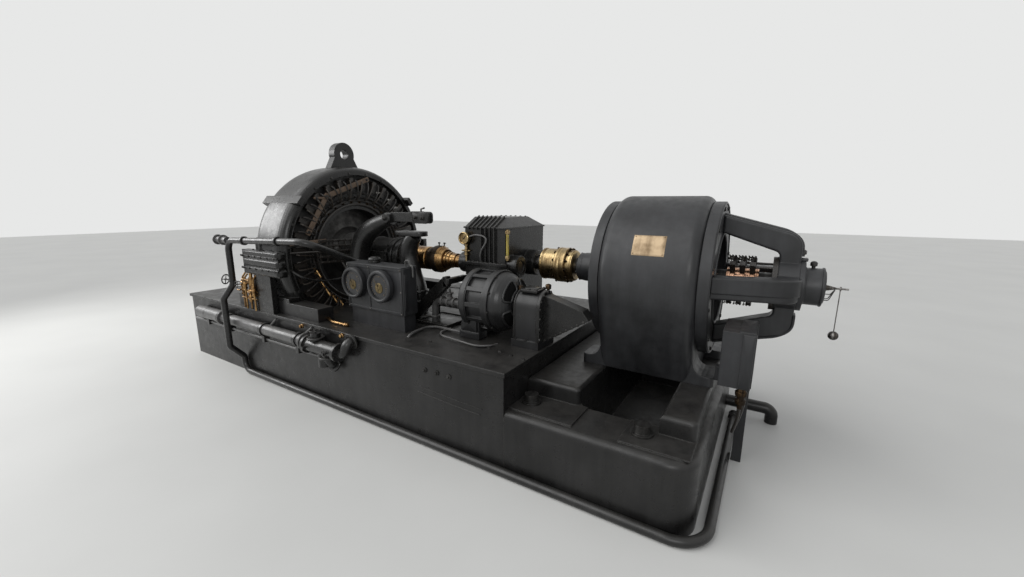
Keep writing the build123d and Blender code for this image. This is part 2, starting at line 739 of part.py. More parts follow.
def make_gear_case():
    front, rear, wall = gear_case_front_y, gear_case_rear_y, gear_case_wall
    eave = shaft_height + gear_case_eave_rise
    ridge = shaft_height + gear_case_ridge_rise
    run = gear_case_roof_run
    low_x, high_x = gear_case_start, gear_case_end
    room = bed_width
    above = block((low_x - room, -room, shaft_height), (high_x + room, room, ridge + room))
    below = block((low_x - room, -room, 0), (high_x + room, room, shaft_height))
    bosses = gear_case_rods(pinion_boss_radius, wheel_boss_radius)
    bores = gear_case_rods(pinion_shaft_radius + running_gap, wheel_shaft_radius + running_gap)
    top = end_profile([(front, shaft_height), (front, eave), (front + run, ridge),
                       (rear - run, ridge), (rear, eave), (rear, shaft_height)], low_x, high_x)
    top -= side_profile([(high_x - gear_case_hip, ridge + 1), (high_x + 1, eave),
                         (high_x + 1, ridge + 1)], front - 1, rear + 1)
    cavity = block((low_x + wall, front + wall, shaft_height - 1),
                   (high_x - wall, rear - wall, eave - wall))
    flange = block((low_x - gear_flange_reach, front - gear_flange_reach, shaft_height),
                   (high_x + gear_flange_reach, rear + gear_flange_reach,
                    shaft_height + gear_flange_thickness))
    top += flange + (bosses & above)
    top += block((low_x - eave_reach, front - eave_reach, eave - eave_thickness),
                 (high_x + eave_reach, rear + eave_reach, eave))
    for k in range(rib_count):
        at = low_x + rib_first + rib_pitch * k
        outer = front - rib_depth
        foot = shaft_height if k + 1 >= first_full_rib else eave - rib_depth
        rib = [(front + 1, foot), (outer, foot), (outer, eave), (front + run, ridge + rib_depth * 0.6),
               (front + run, ridge - 1), (front + 1, eave - 1)]
        top += end_profile(rib, at - rib_thickness / 2, at + rib_thickness / 2)
    save("gear_case_upper", top - cavity - bores)
    chin = shaft_height - pinion_radius - gear_case_side_gap - wall
    throat = gear_case_throat_y
    sump = end_profile([(front, shaft_height), (front, chin), (throat, chin), (throat, bed_top),
                        (rear, bed_top), (rear, shaft_height)], low_x, high_x)
    hollow = end_profile([(front + wall, shaft_height + 1), (front + wall, chin + wall),
                          (throat + wall, chin + wall), (throat + wall, bed_top + wall),
                          (rear - wall, bed_top + wall), (rear - wall, shaft_height + 1)],
                         low_x + wall, high_x - wall)
    # The lower flange is flush at the front, where the pump motor stands close under the case.
    lower_flange = Pos(0, 0, -gear_flange_thickness) * flange
    lower_flange -= block((low_x - room, -room, 0), (high_x + room, front, shaft_height + 1))
    save("gear_case_lower", sump + lower_flange + (bosses & below) - hollow - bores)


def make_gear_fittings():
    foot = shaft_height + gear_flange_thickness
    gauge_x = gear_case_start - gear_flange_reach + gauge_radius
    gauge_y = gear_case_front_y - gauge_stand_off
    gauge_z = shaft_height + gauge_rise
    column = rod_z(gauge_x, gauge_y, foot, gauge_z, sight_tube_radius)
    body = rod_y(gauge_x, gauge_y - gauge_depth, gauge_y, gauge_z, gauge_radius)
    cock = rod_z(gauge_x, gauge_y, foot + gauge_radius, foot + 2 * gauge_radius, gauge_stand_off - 2)
    tube_x = gear_case_end + gear_flange_reach / 2
    tube_y = gear_case_front_y + gear_flange_reach / 2
    half = sight_tube_radius * 1.4
    low = shaft_height + sight_tube_rise
    top = shaft_height + gear_case_eave_rise - sight_tube_drop
    tube = rod_z(tube_x, tube_y, low, top, sight_tube_radius)
    for z in (low, top - gear_flange_thickness):
        tube += block((gear_case_end + seat_gap, tube_y - half, z),
                      (tube_x + half, tube_y + half, z + gear_flange_thickness))
    save("gear_fittings", column + body + cock, tube)


def make_gear_wheel():
    low = gear_case_middle - gear_face_width / 2
    high = gear_case_middle + gear_face_width / 2
    wheel = rod_x(low, high, motor_axis_y, shaft_height, wheel_radius - seat_gap)
    shaft = rod_x(gear_case_start - bearing_boss_length, low_coupling_split,
                  motor_axis_y, shaft_height, wheel_shaft_radius)
    save("gear_wheel", wheel + shaft)


def make_low_coupling():
    start, end, split = low_coupling_start, low_coupling_start + low_coupling_length, low_coupling_split
    radius, groove = low_coupling_radius, low_coupling_groove
    drum = turned_x([
        (start, 0), (start, radius * 0.92), (start + groove, radius), (split - groove, radius),
        (split - groove, radius * 0.93), (split, radius * 0.93), (split, radius * 1.04),
        (split + groove * 2, radius * 1.04), (split + groove * 2, radius * 0.96),
        (end - groove, radius * 0.96), (end, radius * 0.88), (end, 0),
    ], motor_axis_y, shaft_height)
    drum -= rod_x(start, split + seat_gap, motor_axis_y, shaft_height, wheel_shaft_radius + seat_gap)
    drum -= rod_x(split + seat_gap, end, motor_axis_y, shaft_height, motor_shaft_radius + seat_gap)
    save("low_speed_coupling", drum)


def make_motor_frame():
    low, high, y, z = motor_start, motor_end, motor_axis_y, shaft_height
    drop, half = z - rail_top, motor_skirt_half_width
    # The skirt leaves the round drum where a line from its foot touches the drum.
    touch = atan2(drop, half) - acos(motor_radius / hypot(drop, half))
    touch_y = motor_radius * cos(touch)
    touch_z = z - motor_radius * sin(touch)
    skirt = end_profile([(y - half, rail_top), (y + half, rail_top),
                         (y + touch_y, touch_z), (y - touch_y, touch_z)], low, high)
    body = rod_x(low, high, y, z, motor_radius) + skirt
    foot_top = rail_top + motor_foot_thickness
    rims = [e for e in body.edges().group_by(Axis.X)[0] + body.edges().group_by(Axis.X)[-1]
            if e.center().Z > rail_top + 1]
    body = fillet(rims, motor_edge)
    # Each foot sweeps up into the end of the frame in a hollow curve.
    sweep_r = motor_foot_sweep
    bow = [(sweep_r * (1 - sin(radians(18 * k))), sweep_r * (1 - cos(radians(18 * k)))) for k in range(6)]
    for side in (-1, 1):
        edge = y + side * half
        inner = edge - side * motor_foot_width
        foot = block((low - left_foot_length, min(edge, inner), rail_top),
                     (high + right_foot_length, max(edge, inner), foot_top))
        posts = foot.edges().filter_by(Axis.Z)
        body += fillet(posts, motor_foot_thickness / 2)
        for face_x, way in ((low, -1), (high, 1)):
            outline = [(face_x + way * px, foot_top + pz) for px, pz in bow]
            outline += [(face_x - way * motor_edge, foot_top + bow[-1][1]),
                        (face_x - way * motor_edge, foot_top - 1), (face_x + way * sweep_r, foot_top - 1)]
            body += side_profile(outline, min(edge, inner), max(edge, inner))
    wide = motor_radius - motor_wall
    hollow = rod_x(low - 1, low + motor_core_inset, y, z, wide)
    hollow += rod_x(high - motor_core_inset, high + 1, y, z, wide)
    hollow += rod_x(low, high, y, z, rotor_core_radius + motor_air_gap)
    save("motor_frame", body - hollow)


def make_end_shields():
    y, z = motor_axis_y, shaft_height
    right = rod_x(motor_end, shield_face_x, y, z, shield_radius)
    right -= rod_x(motor_end, shield_face_x, y, z, right_shield_opening)
    dish_x = motor_start - left_shield_depth
    bore = motor_shaft_radius + running_gap
    left = turned_x([
        (left_neck_start, bore), (left_neck_start, left_neck_radius),
        (dish_x - 60, left_neck_radius * 1.15), (dish_x - 40, left_dish_radius),
        (dish_x, shield_radius * 0.86), (dish_x + 30, shield_radius), (motor_start, shield_radius),
        (motor_start, bore),
    ], y, z)
    save("motor_end_shields", left, right)


def make_motor_bracket():
    # Four arms leave the shield face, lean in towards the shaft and turn down to the bearing ring.
    corners = [
        (shield_face_x, arm_root_outer), (arm_tip_x, arm_shoulder_outer),
        (arm_tip_x, bearing_seat_radius), (arm_inner_x, bearing_seat_radius),
        (arm_inner_x, arm_shoulder_inner), (shield_face_x, arm_root_inner),
    ]
    face = make_face(Polyline(*corners, close=True))
    for index, bend in ((1, arm_outer_bend), (4, arm_inner_bend)):
        vertex = face.vertices().sort_by_distance(Vector(*corners[index]))[0]
        face = fillet(vertex, bend)
    arm = Pos(0, 0, -arm_width / 2) * extrude(face, amount=arm_width, dir=(0, 0, 1))
    arm = fillet(arm.faces().filter_by(Axis.Z).edges(), arm_edge)
    bracket = rod_x(arm_inner_x, arm_tip_x, 0, 0, bracket_ring_radius)
    for k in range(4):
        bracket += Rot(90 * k, 0, 0) * arm
    bracket -= rod_x(arm_inner_x - 1, arm_tip_x + 1, 0, 0, bearing_seat_radius)
    save("motor_bracket", Pos(0, motor_axis_y, shaft_height) * bracket)
    collar = arm_tip_x + seat_gap
    collar_end = collar + bearing_collar_length
    cap = motor_bearing_end - end_cap_thickness
    bore = motor_shaft_radius + running_gap
    bearing = turned_x([
        (arm_inner_x, bore), (arm_inner_x, bearing_seat_radius - seat_gap),
        (collar, bearing_seat_radius - seat_gap), (collar, bracket_ring_radius),
        (collar_end, bracket_ring_radius), (collar_end, motor_bearing_radius),
        (cap, motor_bearing_radius), (motor_bearing_end, motor_bearing_radius - end_cap_thickness),
        (motor_bearing_end, 0), (cap, 0), (cap, bore),
    ], motor_axis_y, shaft_height)
    save("motor_bearing", bearing)


def make_motor_rotor():
    y, z = motor_axis_y, shaft_height
    shaft_end = motor_bearing_end - end_cap_thickness - moving_gap
    shaft = rod_x(low_coupling_split + seat_gap, shaft_end, y, z, motor_shaft_radius)
    core = rod_x(motor_start + motor_core_inset, motor_end - motor_core_inset, y, z, rotor_core_radius)
    save("motor_shaft", shaft + core)
    last = slip_ring_start + (slip_ring_count - 1) * slip_ring_pitch + slip_ring_width
    rings = rod_x(slip_ring_start - slip_ring_width, last + slip_ring_width, y, z, slip_ring_hub_radius)
    for k in range(slip_ring_count):
        at = slip_ring_start + k * slip_ring_pitch
        rings += rod_x(at, at + slip_ring_width, y, z, slip_ring_radius)
    save("slip_rings", rings - rod_x(motor_end, arm_tip_x, y, z, motor_shaft_radius + seat_gap))


def make_brush_gear():
    start = arm_inner_x - rocker_length
    half = brush_holder_width / 2
    gear = rod_x(start, arm_inner_x, 0, 0, rocker_radius)
    for turn in (45, 135, 225, 315):
        arm = rod_x(start - brush_rod_length, start, 0, brush_rod_rise, brush_rod_radius)
        for k in range(slip_ring_count):
            at = slip_ring_start + slip_ring_width / 2 + k * slip_ring_pitch
            arm += block((at - half, -half, slip_ring_radius + moving_gap),
                         (at + half, half, brush_rod_rise + brush_holder_width))
        gear += Rot(turn, 0, 0) * arm
    gear -= rod_x(start - 1, arm_inner_x + 1, 0, 0, rocker_opening)
    save("brush_gear", Pos(0, motor_axis_y, shaft_height) * gear)


def make_end_rod():
    y, z = motor_axis_y, shaft_height
    start = motor_bearing_end + seat_gap
    rod = turned_x([(start, 0), (start, end_rod_base_radius), (start + end_rod_length / 2, end_rod_radius),
                    (start + end_rod_length, end_rod_radius), (start + end_rod_length, 0)], y, z)
    save("shaft_end_stand", rod)
    at = motor_bearing_end + pendulum_offset
    half = pendulum_ring_width / 2
    ring = rod_x(at - half, at + half, y, z, pendulum_ring_radius)
    wire = rod_z(at, y, z - pendulum_length, z - end_rod_radius, pendulum_wire_radius)
    ball = Pos(at, y, z - pendulum_length) * Sphere(pendulum_ball_radius)
    hole = rod_x(at - half * 2, at + half * 2, y, z, end_rod_radius + running_gap)
    save("pendulum", ring + wire + ball - hole)


def make_pump_motor():
    y, z = pump_axis_y, pump_axis_height
    start, end, ring = pump_frame_start, pump_frame_end, pump_frame_ring
    waist = pump_motor_radius - pump_frame_waist
    bore = pump_motor_radius - pump_core_gap
    frame = turned_x([
        (start, bore), (start, pump_motor_radius), (start + ring, pump_motor_radius),
        (start + ring, waist), (end - ring, waist), (end - ring, pump_motor_radius),
        (end, pump_motor_radius), (end, bore),
    ], y, z)
    for k in range(pump_window_count):
        bar = Pos((start + end) / 2, y, z) * Rot(360 * k / pump_window_count, 0, 0)
        frame += bar * Pos(0, 0, pump_motor_radius - 16) * Box(pump_frame_length - ring, 34, 30)
    for side in (-1, 1):
        near, far = y + side * pump_foot_near, y + side * pump_foot_far
        foot = block((pump_foot_start, min(near, far), bed_top),
                     (pump_foot_start + pump_foot_length, max(near, far), z - pump_foot_drop))
        foot -= rod_x(pump_foot_start - 1, start, y, z, pump_motor_radius + seat_gap)
        frame += foot - rod_x(start - 1, end, y, z, bore)
    save("pump_motor_frame", frame)
    bells = []
    hole, rim = pump_shaft_radius + running_gap, pump_motor_radius - 10
    for base, reach in ((start, -pump_left_bell_length), (end, pump_right_bell_length)):
        dome = []
        for k in range(9):
            turn = radians(11.25 * k)
            dome.append((base + reach * sin(turn),
                         pump_bell_end_radius + (rim - pump_bell_end_radius) * cos(turn)))
        bells.append(turned_x([(base, hole)] + dome + [(base + reach, hole)], y, z))
    save("pump_motor_bells", *bells)
    shaft = rod_x(start - pump_left_bell_length, pump_start + pump_plinth_height, y, z,
                  pump_shaft_radius)
    core = rod_x(start + moving_gap, end - moving_gap, y, z, bore - moving_gap)
    coupling = rod_x(pump_bell_end + moving_gap, pump_start - moving_gap, y, z, pump_coupling_radius)
    save("pump_shaft", shaft + core + coupling)


def make_oil_pump():
    y, z = pump_axis_y, pump_axis_height
    low, high, half, reach = pump_start, pump_end, pump_half_width, pump_plinth_reach
    casing = rod_x(low, high, y, z, half)
    casing += block((low, y - half, bed_top), (high, y + half, z))
    casing += block((low - reach, y - half - reach, bed_top),
                    (high, y + half + reach, bed_top + pump_plinth_height))
    casing -= rod_x(low - 1, low + pump_plinth_height + moving_gap, y, z,
                    pump_shaft_radius + running_gap)
    save("oil_pump", casing)
    cover = [(high + px, z + rise) for px, rise in cover_line]
    save("drive_cover", side_profile(cover, y - cover_thickness / 2, y + cover_thickness / 2))
    path = FilletPolyline(
        (oil_pipe_start, oil_pipe_y, bed_top), (oil_pipe_start, oil_pipe_y, oil_pipe_height),
        (oil_pipe_turn, oil_pipe_y, oil_pipe_height), (oil_pipe_turn, gear_case_throat_y, oil_pipe_height),
        radius=oil_pipe_bend)
    save("oil_pipe", along(path, oil_pipe_radius))


def make_cabinet():
    low_x, high_x = cabinet_start, cabinet_start + cabinet_width
    front, rear = cabinet_front_y, cabinet_front_y + cabinet_depth
    box = block((low_x, front, cabinet_low), (high_x, rear, cabinet_high))
    stand = block((low_x + cabinet_edge, front + cabinet_edge, bed_top),
                  (high_x - cabinet_edge, rear - cabinet_edge, cabinet_low))
    save("gauge_cabinet", fillet(box.edges().filter_by(Axis.Z), cabinet_edge) + stand)
    dials = []
    for side in (-1, 1):
        x = (low_x + high_x) / 2 + dial_shift + side * dial_spacing / 2
        dials.append(rod_y(x, front - dial_depth, front, cabinet_high - dial_drop, dial_radius))
    save("gauge_dials", *dials)


def make_terminal_box():
    box = block((terminal_box_start, terminal_box_front_y, terminal_box_low),
                (terminal_box_start + terminal_box_width, terminal_box_rear_y, terminal_box_high))
    near = terminal_box_rear_y + seat_gap
    post = block((terminal_post_start, near, 0),
                 (terminal_post_start + terminal_post_width, near + terminal_post_depth,
                  terminal_post_top))
    box = fillet(box.edges().filter_by(Axis.Z), terminal_box_edge)
    # A bracket joins the box to the end of the motor's right foot.
    foot_end = motor_end + right_foot_length + seat_gap
    box += block((foot_end, terminal_bracket_y, terminal_box_low - terminal_bracket_drop),
                 (terminal_box_start + terminal_bracket_width,
                  terminal_bracket_y + terminal_bracket_width, terminal_box_low))
    box += block((foot_end, terminal_bracket_y, terminal_box_low),
                 (terminal_box_start, terminal_bracket_y + terminal_bracket_width,
                  terminal_box_low + terminal_bracket_drop))
    save("terminal_box", box, post)


def make_floor_pipe():
    # One pipe runs along the right side and the front of the bed, climbs the front, bows out round the
    # cooling main, crosses in front of the stator and turns back to the alternator bearing.
    r, y = floor_pipe_radius, floor_pipe_y
    bow_y = y - riser_bow
    pedestal_y = alternator_axis_y - pedestal_width / 2 - seat_gap
    points = [
        (floor_pipe_side_x, floor_pipe_end_y, r), (floor_pipe_side_x, y, r), (riser_x, y, r),
        (riser_x, y, riser_bow_low - riser_slope), (riser_x, bow_y, riser_bow_low),
        (riser_x, bow_y, riser_bow_high), (riser_top_x, rail_pipe_y, riser_bow_high + riser_slope),
        (riser_top_x, rail_pipe_y, rail_pipe_height),
        (rail_pipe_end_x, rail_pipe_y, rail_pipe_end_height),
        (rail_pipe_end_x, feed_pipe_y, feed_pipe_height),
        (rail_pipe_end_x, pedestal_y, feed_pipe_height),
    ]
    bends = [floor_pipe_corner, floor_pipe_bend] + [riser_bend] * 4 + [floor_pipe_bend] * 3
    union = rod_y(floor_pipe_side_x, floor_pipe_end_y, floor_pipe_end_y + union_length,
                  union_radius, union_radius)
    save("floor_pipe", along(FilletPolyline(*points, radius=bends), r) + union)


def make_main_pipe():
    r, y, z = main_pipe_radius, main_pipe_y, main_pipe_height
    body = valve_radius * 0.8
    save("cooling_main", rod_x(main_pipe_start, main_pipe_end, y, z, r),
         rod_x(rod_start, valve_x - body - seat_gap, y, rod_height, rod_radius))
    rear = bed_front - seat_gap
    straps = []
    for share in strap_places:
        at = main_pipe_start + share * (main_pipe_end - main_pipe_start)
        far = at + strap_width
        strap = rod_x(at, far, y, z, r + strap_thickness)
        strap += block((at, y, z - r * 0.6), (far, rear, z + r * 0.6))
        strap += block((at, y - rod_radius * 2, rod_height - rod_radius * 2),
                       (far, y + rod_radius * 2, z - r))
        strap -= rod_x(at, far, y, z, r + seat_gap)
        strap -= rod_x(at, far, y, rod_height, rod_radius + seat_gap)
        straps.append(strap & block((at, -bed_width, 0), (far, rear, z * 2)))
    save("pipe_straps", *straps)
    low, high = main_pipe_end, main_pipe_end + valve_length
    valve = rod_x(low, high, valve_y, z, valve_radius)
    valve += rod_x(low, low + valve_flange_thickness, valve_y, z, valve_flange_radius)
    valve += rod_x(high - valve_flange_thickness, high, valve_y, z, valve_flange_radius)
    valve += rod_z(valve_x, valve_y, z - valve_drop, z, body)
    save("line_valve", valve)
    path = FilletPolyline((bed_right + seat_gap, drain_y, drain_height), (drain_x, drain_y, drain_height),
                          (drain_x, drain_y, 0), radius=drain_bend)
    save("drain_elbow", along(path, drain_radius))


make_bed()
make_side_rails()
make_stator()
make_headers()
make_armature()
make_alternator_bearings()
make_horns()
make_alternator_rotor()
make_gear_case()
make_gear_fittings()
make_gear_wheel()
make_low_coupling()
make_motor_frame()
make_end_shields()
make_motor_bracket()
make_motor_rotor()
make_brush_gear()
make_end_rod()
make_pump_motor()
make_oil_pump()
make_cabinet()
make_terminal_box()
make_floor_pipe()
make_main_pipe()
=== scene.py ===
import bpy
import bmesh
import numpy as np
from math import cos, pi, radians, sin
from mathutils import Matrix


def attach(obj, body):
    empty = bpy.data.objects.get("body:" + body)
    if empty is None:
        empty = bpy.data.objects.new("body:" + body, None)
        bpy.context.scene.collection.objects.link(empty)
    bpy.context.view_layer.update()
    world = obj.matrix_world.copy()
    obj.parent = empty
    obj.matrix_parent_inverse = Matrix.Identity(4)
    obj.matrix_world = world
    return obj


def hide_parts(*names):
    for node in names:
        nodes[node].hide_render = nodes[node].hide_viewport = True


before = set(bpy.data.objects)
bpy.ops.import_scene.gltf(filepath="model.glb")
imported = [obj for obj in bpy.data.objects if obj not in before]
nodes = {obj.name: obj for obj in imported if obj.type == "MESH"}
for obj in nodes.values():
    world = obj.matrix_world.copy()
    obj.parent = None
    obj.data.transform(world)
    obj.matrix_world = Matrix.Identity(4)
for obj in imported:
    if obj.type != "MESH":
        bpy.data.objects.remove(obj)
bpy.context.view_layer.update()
print("frame loaded:", len(nodes), "nodes")

# Camera: standing height in front of the motor end, wide lens, looking down and to the left
cameraSetup = {"place": (3.05, -3.30, 1.82), "turn": -31.877, "tilt": 11.5336, "roll": -0.2893,
               "lens": 417.84 / 1024 * 36}


def makeCamera(setup):
    turn, tilt, roll = (radians(setup[k]) for k in ("turn", "tilt", "roll"))
    forward = np.array([sin(turn) * cos(tilt), cos(turn) * cos(tilt), -sin(tilt)])
    right = np.array([cos(turn), -sin(turn), 0.0])
    down = np.cross(forward, right)
    across = right * cos(roll) + down * sin(roll)
    upward = right * sin(roll) - down * cos(roll)
    data = bpy.data.cameras.new("camera")
    data.lens = setup["lens"]
    data.sensor_width = 36
    camera = bpy.data.objects.new("camera", data)
    bpy.context.scene.collection.objects.link(camera)
    place = Matrix(np.column_stack([across, upward, -forward]).tolist()).to_4x4()
    place.translation = setup["place"]
    camera.matrix_world = place
    bpy.context.scene.camera = camera


makeCamera(cameraSetup)
print("camera placed")

# Shader groups


def newGroup(name, inputs):
    # every group gives a colour, a roughness and a normal
    group = bpy.data.node_groups.new(name, "ShaderNodeTree")
    for label, value in inputs.items():
        kind = "NodeSocketColor" if isinstance(value, tuple) else "NodeSocketFloat"
        socket = group.interface.new_socket(name=label, in_out="INPUT", socket_type=kind)
        socket.default_value = value
    for label, kind in (("Color", "Color"), ("Roughness", "Float"), ("Normal", "Vector")):
        group.interface.new_socket(name=label, in_out="OUTPUT", socket_type="NodeSocket" + kind)
    return group, group.nodes.new("NodeGroupInput").outputs


def closeGroup(group, **results):
    # joins what was worked out to the group's outputs
    takes = group.nodes.new("NodeGroupOutput").inputs
    for label, value in results.items():
        group.links.new(value, takes[label])
    return group


def addNode(tree, kind, feeds=None, **settings):
    node = tree.nodes.new("ShaderNode" + kind)
    for key, value in settings.items():
        setattr(node, key, value)
    for key, value in (feeds or {}).items():
        if isinstance(value, bpy.types.NodeSocket):
            tree.links.new(value, node.inputs[key])
        else:
            node.inputs[key].default_value = value
    return node.outputs


def scaled(tree, value, low, high, outLow, outHigh):
    return addNode(tree, "MapRange", {0: value, 1: low, 2: high, 3: outLow, 4: outHigh})[0]


def maths(tree, kind, a, b=0.0):
    return addNode(tree, "Math", {0: a, 1: b}, operation=kind)[0]


def blended(tree, share, a, b, how="MIX"):
    return addNode(tree, "Mix", {0: share, 6: a, 7: b}, data_type="RGBA", blend_type=how)[2]


def noise(tree, vector, scale, detail=4.0, rough=0.55):
    return addNode(tree, "TexNoise", {"Vector": vector, "Scale": scale, "Detail": detail, "Roughness": rough})[0]


def stretched(tree, vector, scale):
    return addNode(tree, "Mapping", {"Vector": vector, "Scale": scale})[0]


def buildPaintGroup():
    # tone from broad and streaked noise, rubbed edges where the rounded normal leaves the flat one,
    # dust on faces that look up, and a cast surface as bump over the rounded normal
    group, given = newGroup("castPaint", {"Paint": (0.03, 0.03, 0.03, 1), "Worn": (0.1, 0.1, 0.1, 1),
                                          "DustColor": (0.2, 0.19, 0.17, 1), "Wear": 0.5, "Dust": 0.3,
                                          "Cast": 0.3, "Low": 0.35, "High": 0.55, "EdgeSize": 0.006})
    place = addNode(group, "TexCoord")["Object"]
    flat = addNode(group, "NewGeometry")["Normal"]
    rounded = addNode(group, "Bevel", {"Radius": given["EdgeSize"]}, samples=4)[0]
    broad = noise(group, place, 2.3, 5.0, 0.6)
    middle = noise(group, place, 17.0, 4.0, 0.6)
    fine = noise(group, place, 240.0, 2.0, 0.5)
    streak = noise(group, stretched(group, place, (13.0, 13.0, 1.4)), 1.0, 4.0, 0.6)
    tone = maths(group, "MULTIPLY", scaled(group, broad, 0.3, 0.7, 0.55, 1.5),
                 scaled(group, streak, 0.3, 0.7, 0.75, 1.3))
    paint = blended(group, 1.0, given["Paint"], tone, "MULTIPLY")
    bend = addNode(group, "VectorMath", {0: rounded, 1: flat}, operation="DOT_PRODUCT")["Value"]
    edge = maths(group, "MULTIPLY", scaled(group, bend, 0.992, 0.9, 0.0, 1.0),
                 scaled(group, middle, 0.36, 0.58, 0.15, 1.0))
    edge = maths(group, "MULTIPLY", edge, given["Wear"])
    upward = addNode(group, "SeparateXYZ", {0: flat})["Z"]
    dust = maths(group, "MULTIPLY", scaled(group, upward, 0.35, 1.0, 0.0, 1.0),
                 scaled(group, noise(group, place, 5.5, 6.0, 0.65), 0.34, 0.66, 0.2, 1.0))
    dust = maths(group, "MULTIPLY", dust, given["Dust"])
    color = blended(group, edge, paint, given["Worn"])
    color = blended(group, dust, color, given["DustColor"])
    shine = addNode(group, "MapRange", {0: middle, 1: 0.3, 2: 0.7, 3: given["Low"], 4: given["High"]})[0]
    shine = maths(group, "ADD", shine, maths(group, "MULTIPLY", dust, 0.35))
    height = maths(group, "ADD", maths(group, "MULTIPLY", fine, 0.12),
                   maths(group, "MULTIPLY", noise(group, place, 9.0, 3.0, 0.5), 1.2))
    height = maths(group, "ADD", height, maths(group, "MULTIPLY", middle, 0.35))
    normal = addNode(group, "Bump", {"Strength": given["Cast"], "Distance": 0.006, "Height": height,
                                     "Normal": rounded})[0]
    return closeGroup(group, Color=color, Roughness=shine, Normal=normal)


def buildTurnedGroup():
    # fine rings across the shaft line from noise read along it, and tarnish where broad noise is high
    group, given = newGroup("turnedMetal", {"Metal": (0.5, 0.4, 0.2, 1), "Tarnish": (0.1, 0.07, 0.04, 1),
                                            "Rings": 90.0, "Age": 0.5, "Low": 0.2, "High": 0.45, "Groove": 0.25})
    place = addNode(group, "TexCoord")["Object"]
    along = addNode(group, "SeparateXYZ", {0: place})["X"]
    rings = addNode(group, "TexNoise", {"W": maths(group, "MULTIPLY", along, given["Rings"]), "Scale": 1.0,
                                        "Detail": 3.0}, noise_dimensions="1D")[0]
    broad = noise(group, place, 11.0, 6.0, 0.65)
    mask = maths(group, "ADD", maths(group, "MULTIPLY", broad, 0.65), maths(group, "MULTIPLY", rings, 0.35))
    mask = maths(group, "ADD", mask, maths(group, "MULTIPLY", maths(group, "SUBTRACT", given["Age"], 0.5), 0.5))
    mask = scaled(group, mask, 0.4, 0.62, 0.0, 1.0)
    color = blended(group, mask, given["Metal"], given["Tarnish"])
    shine = addNode(group, "MapRange", {0: mask, 1: 0.0, 2: 1.0, 3: given["Low"], 4: given["High"]})[0]
    rounded = addNode(group, "Bevel", {"Radius": 0.003}, samples=4)[0]
    normal = addNode(group, "Bump", {"Strength": given["Groove"], "Distance": 0.001, "Height": rings,
                                     "Normal": rounded})[0]
    return closeGroup(group, Color=color, Roughness=shine, Normal=normal)


def buildWrapGroup():
    # bands across one direction with soft noise in them: wound tape, cloth strap, laminations
    group, given = newGroup("woundTape", {"Base": (0.1, 0.07, 0.05, 1), "Gap": (0.03, 0.02, 0.015, 1),
                                          "Bands": 60.0, "Rough": 0.7, "Depth": 0.4})
    place = addNode(group, "TexCoord")["Object"]
    bands = addNode(group, "TexWave", {"Vector": place, "Scale": given["Bands"], "Distortion": 1.5, "Detail": 2.0},
                    bands_direction="DIAGONAL")[1]
    soft = noise(group, place, 30.0, 5.0, 0.6)
    share = maths(group, "MULTIPLY", scaled(group, bands, 0.0, 0.5, 1.0, 0.0), 0.6)
    share = maths(group, "ADD", share, scaled(group, soft, 0.4, 0.7, 0.0, 0.4))
    color = blended(group, share, given["Base"], given["Gap"])
    shine = maths(group, "ADD", given["Rough"], scaled(group, soft, 0.3, 0.7, -0.12, 0.12))
    normal = addNode(group, "Bump", {"Strength": given["Depth"], "Distance": 0.002, "Height": bands})[0]
    return closeGroup(group, Color=color, Roughness=shine, Normal=normal)


groups = {"paint": buildPaintGroup(), "metal": buildTurnedGroup(), "wrap": buildWrapGroup()}


def makeMaterial(name, kind, values):
    # the group takes what it has a socket for; what is left goes to the shader's own sockets
    material = bpy.data.materials.new(name)
    material.use_nodes = True
    tree = material.node_tree
    surface = tree.nodes["Principled BSDF"]
    pattern = tree.nodes.new("ShaderNodeGroup")
    pattern.node_tree = groups[kind]
    for key, value in values.items():
        if key in pattern.inputs:
            pattern.inputs[key].default_value = (*value, 1.0) if isinstance(value, tuple) else value
        else:
            surface.inputs[key.replace("_", " ")].default_value = value
    for ours, theirs in (("Color", "Base Color"), ("Roughness", "Roughness"), ("Normal", "Normal")):
        tree.links.new(pattern.outputs[ours], surface.inputs[theirs])
    return material


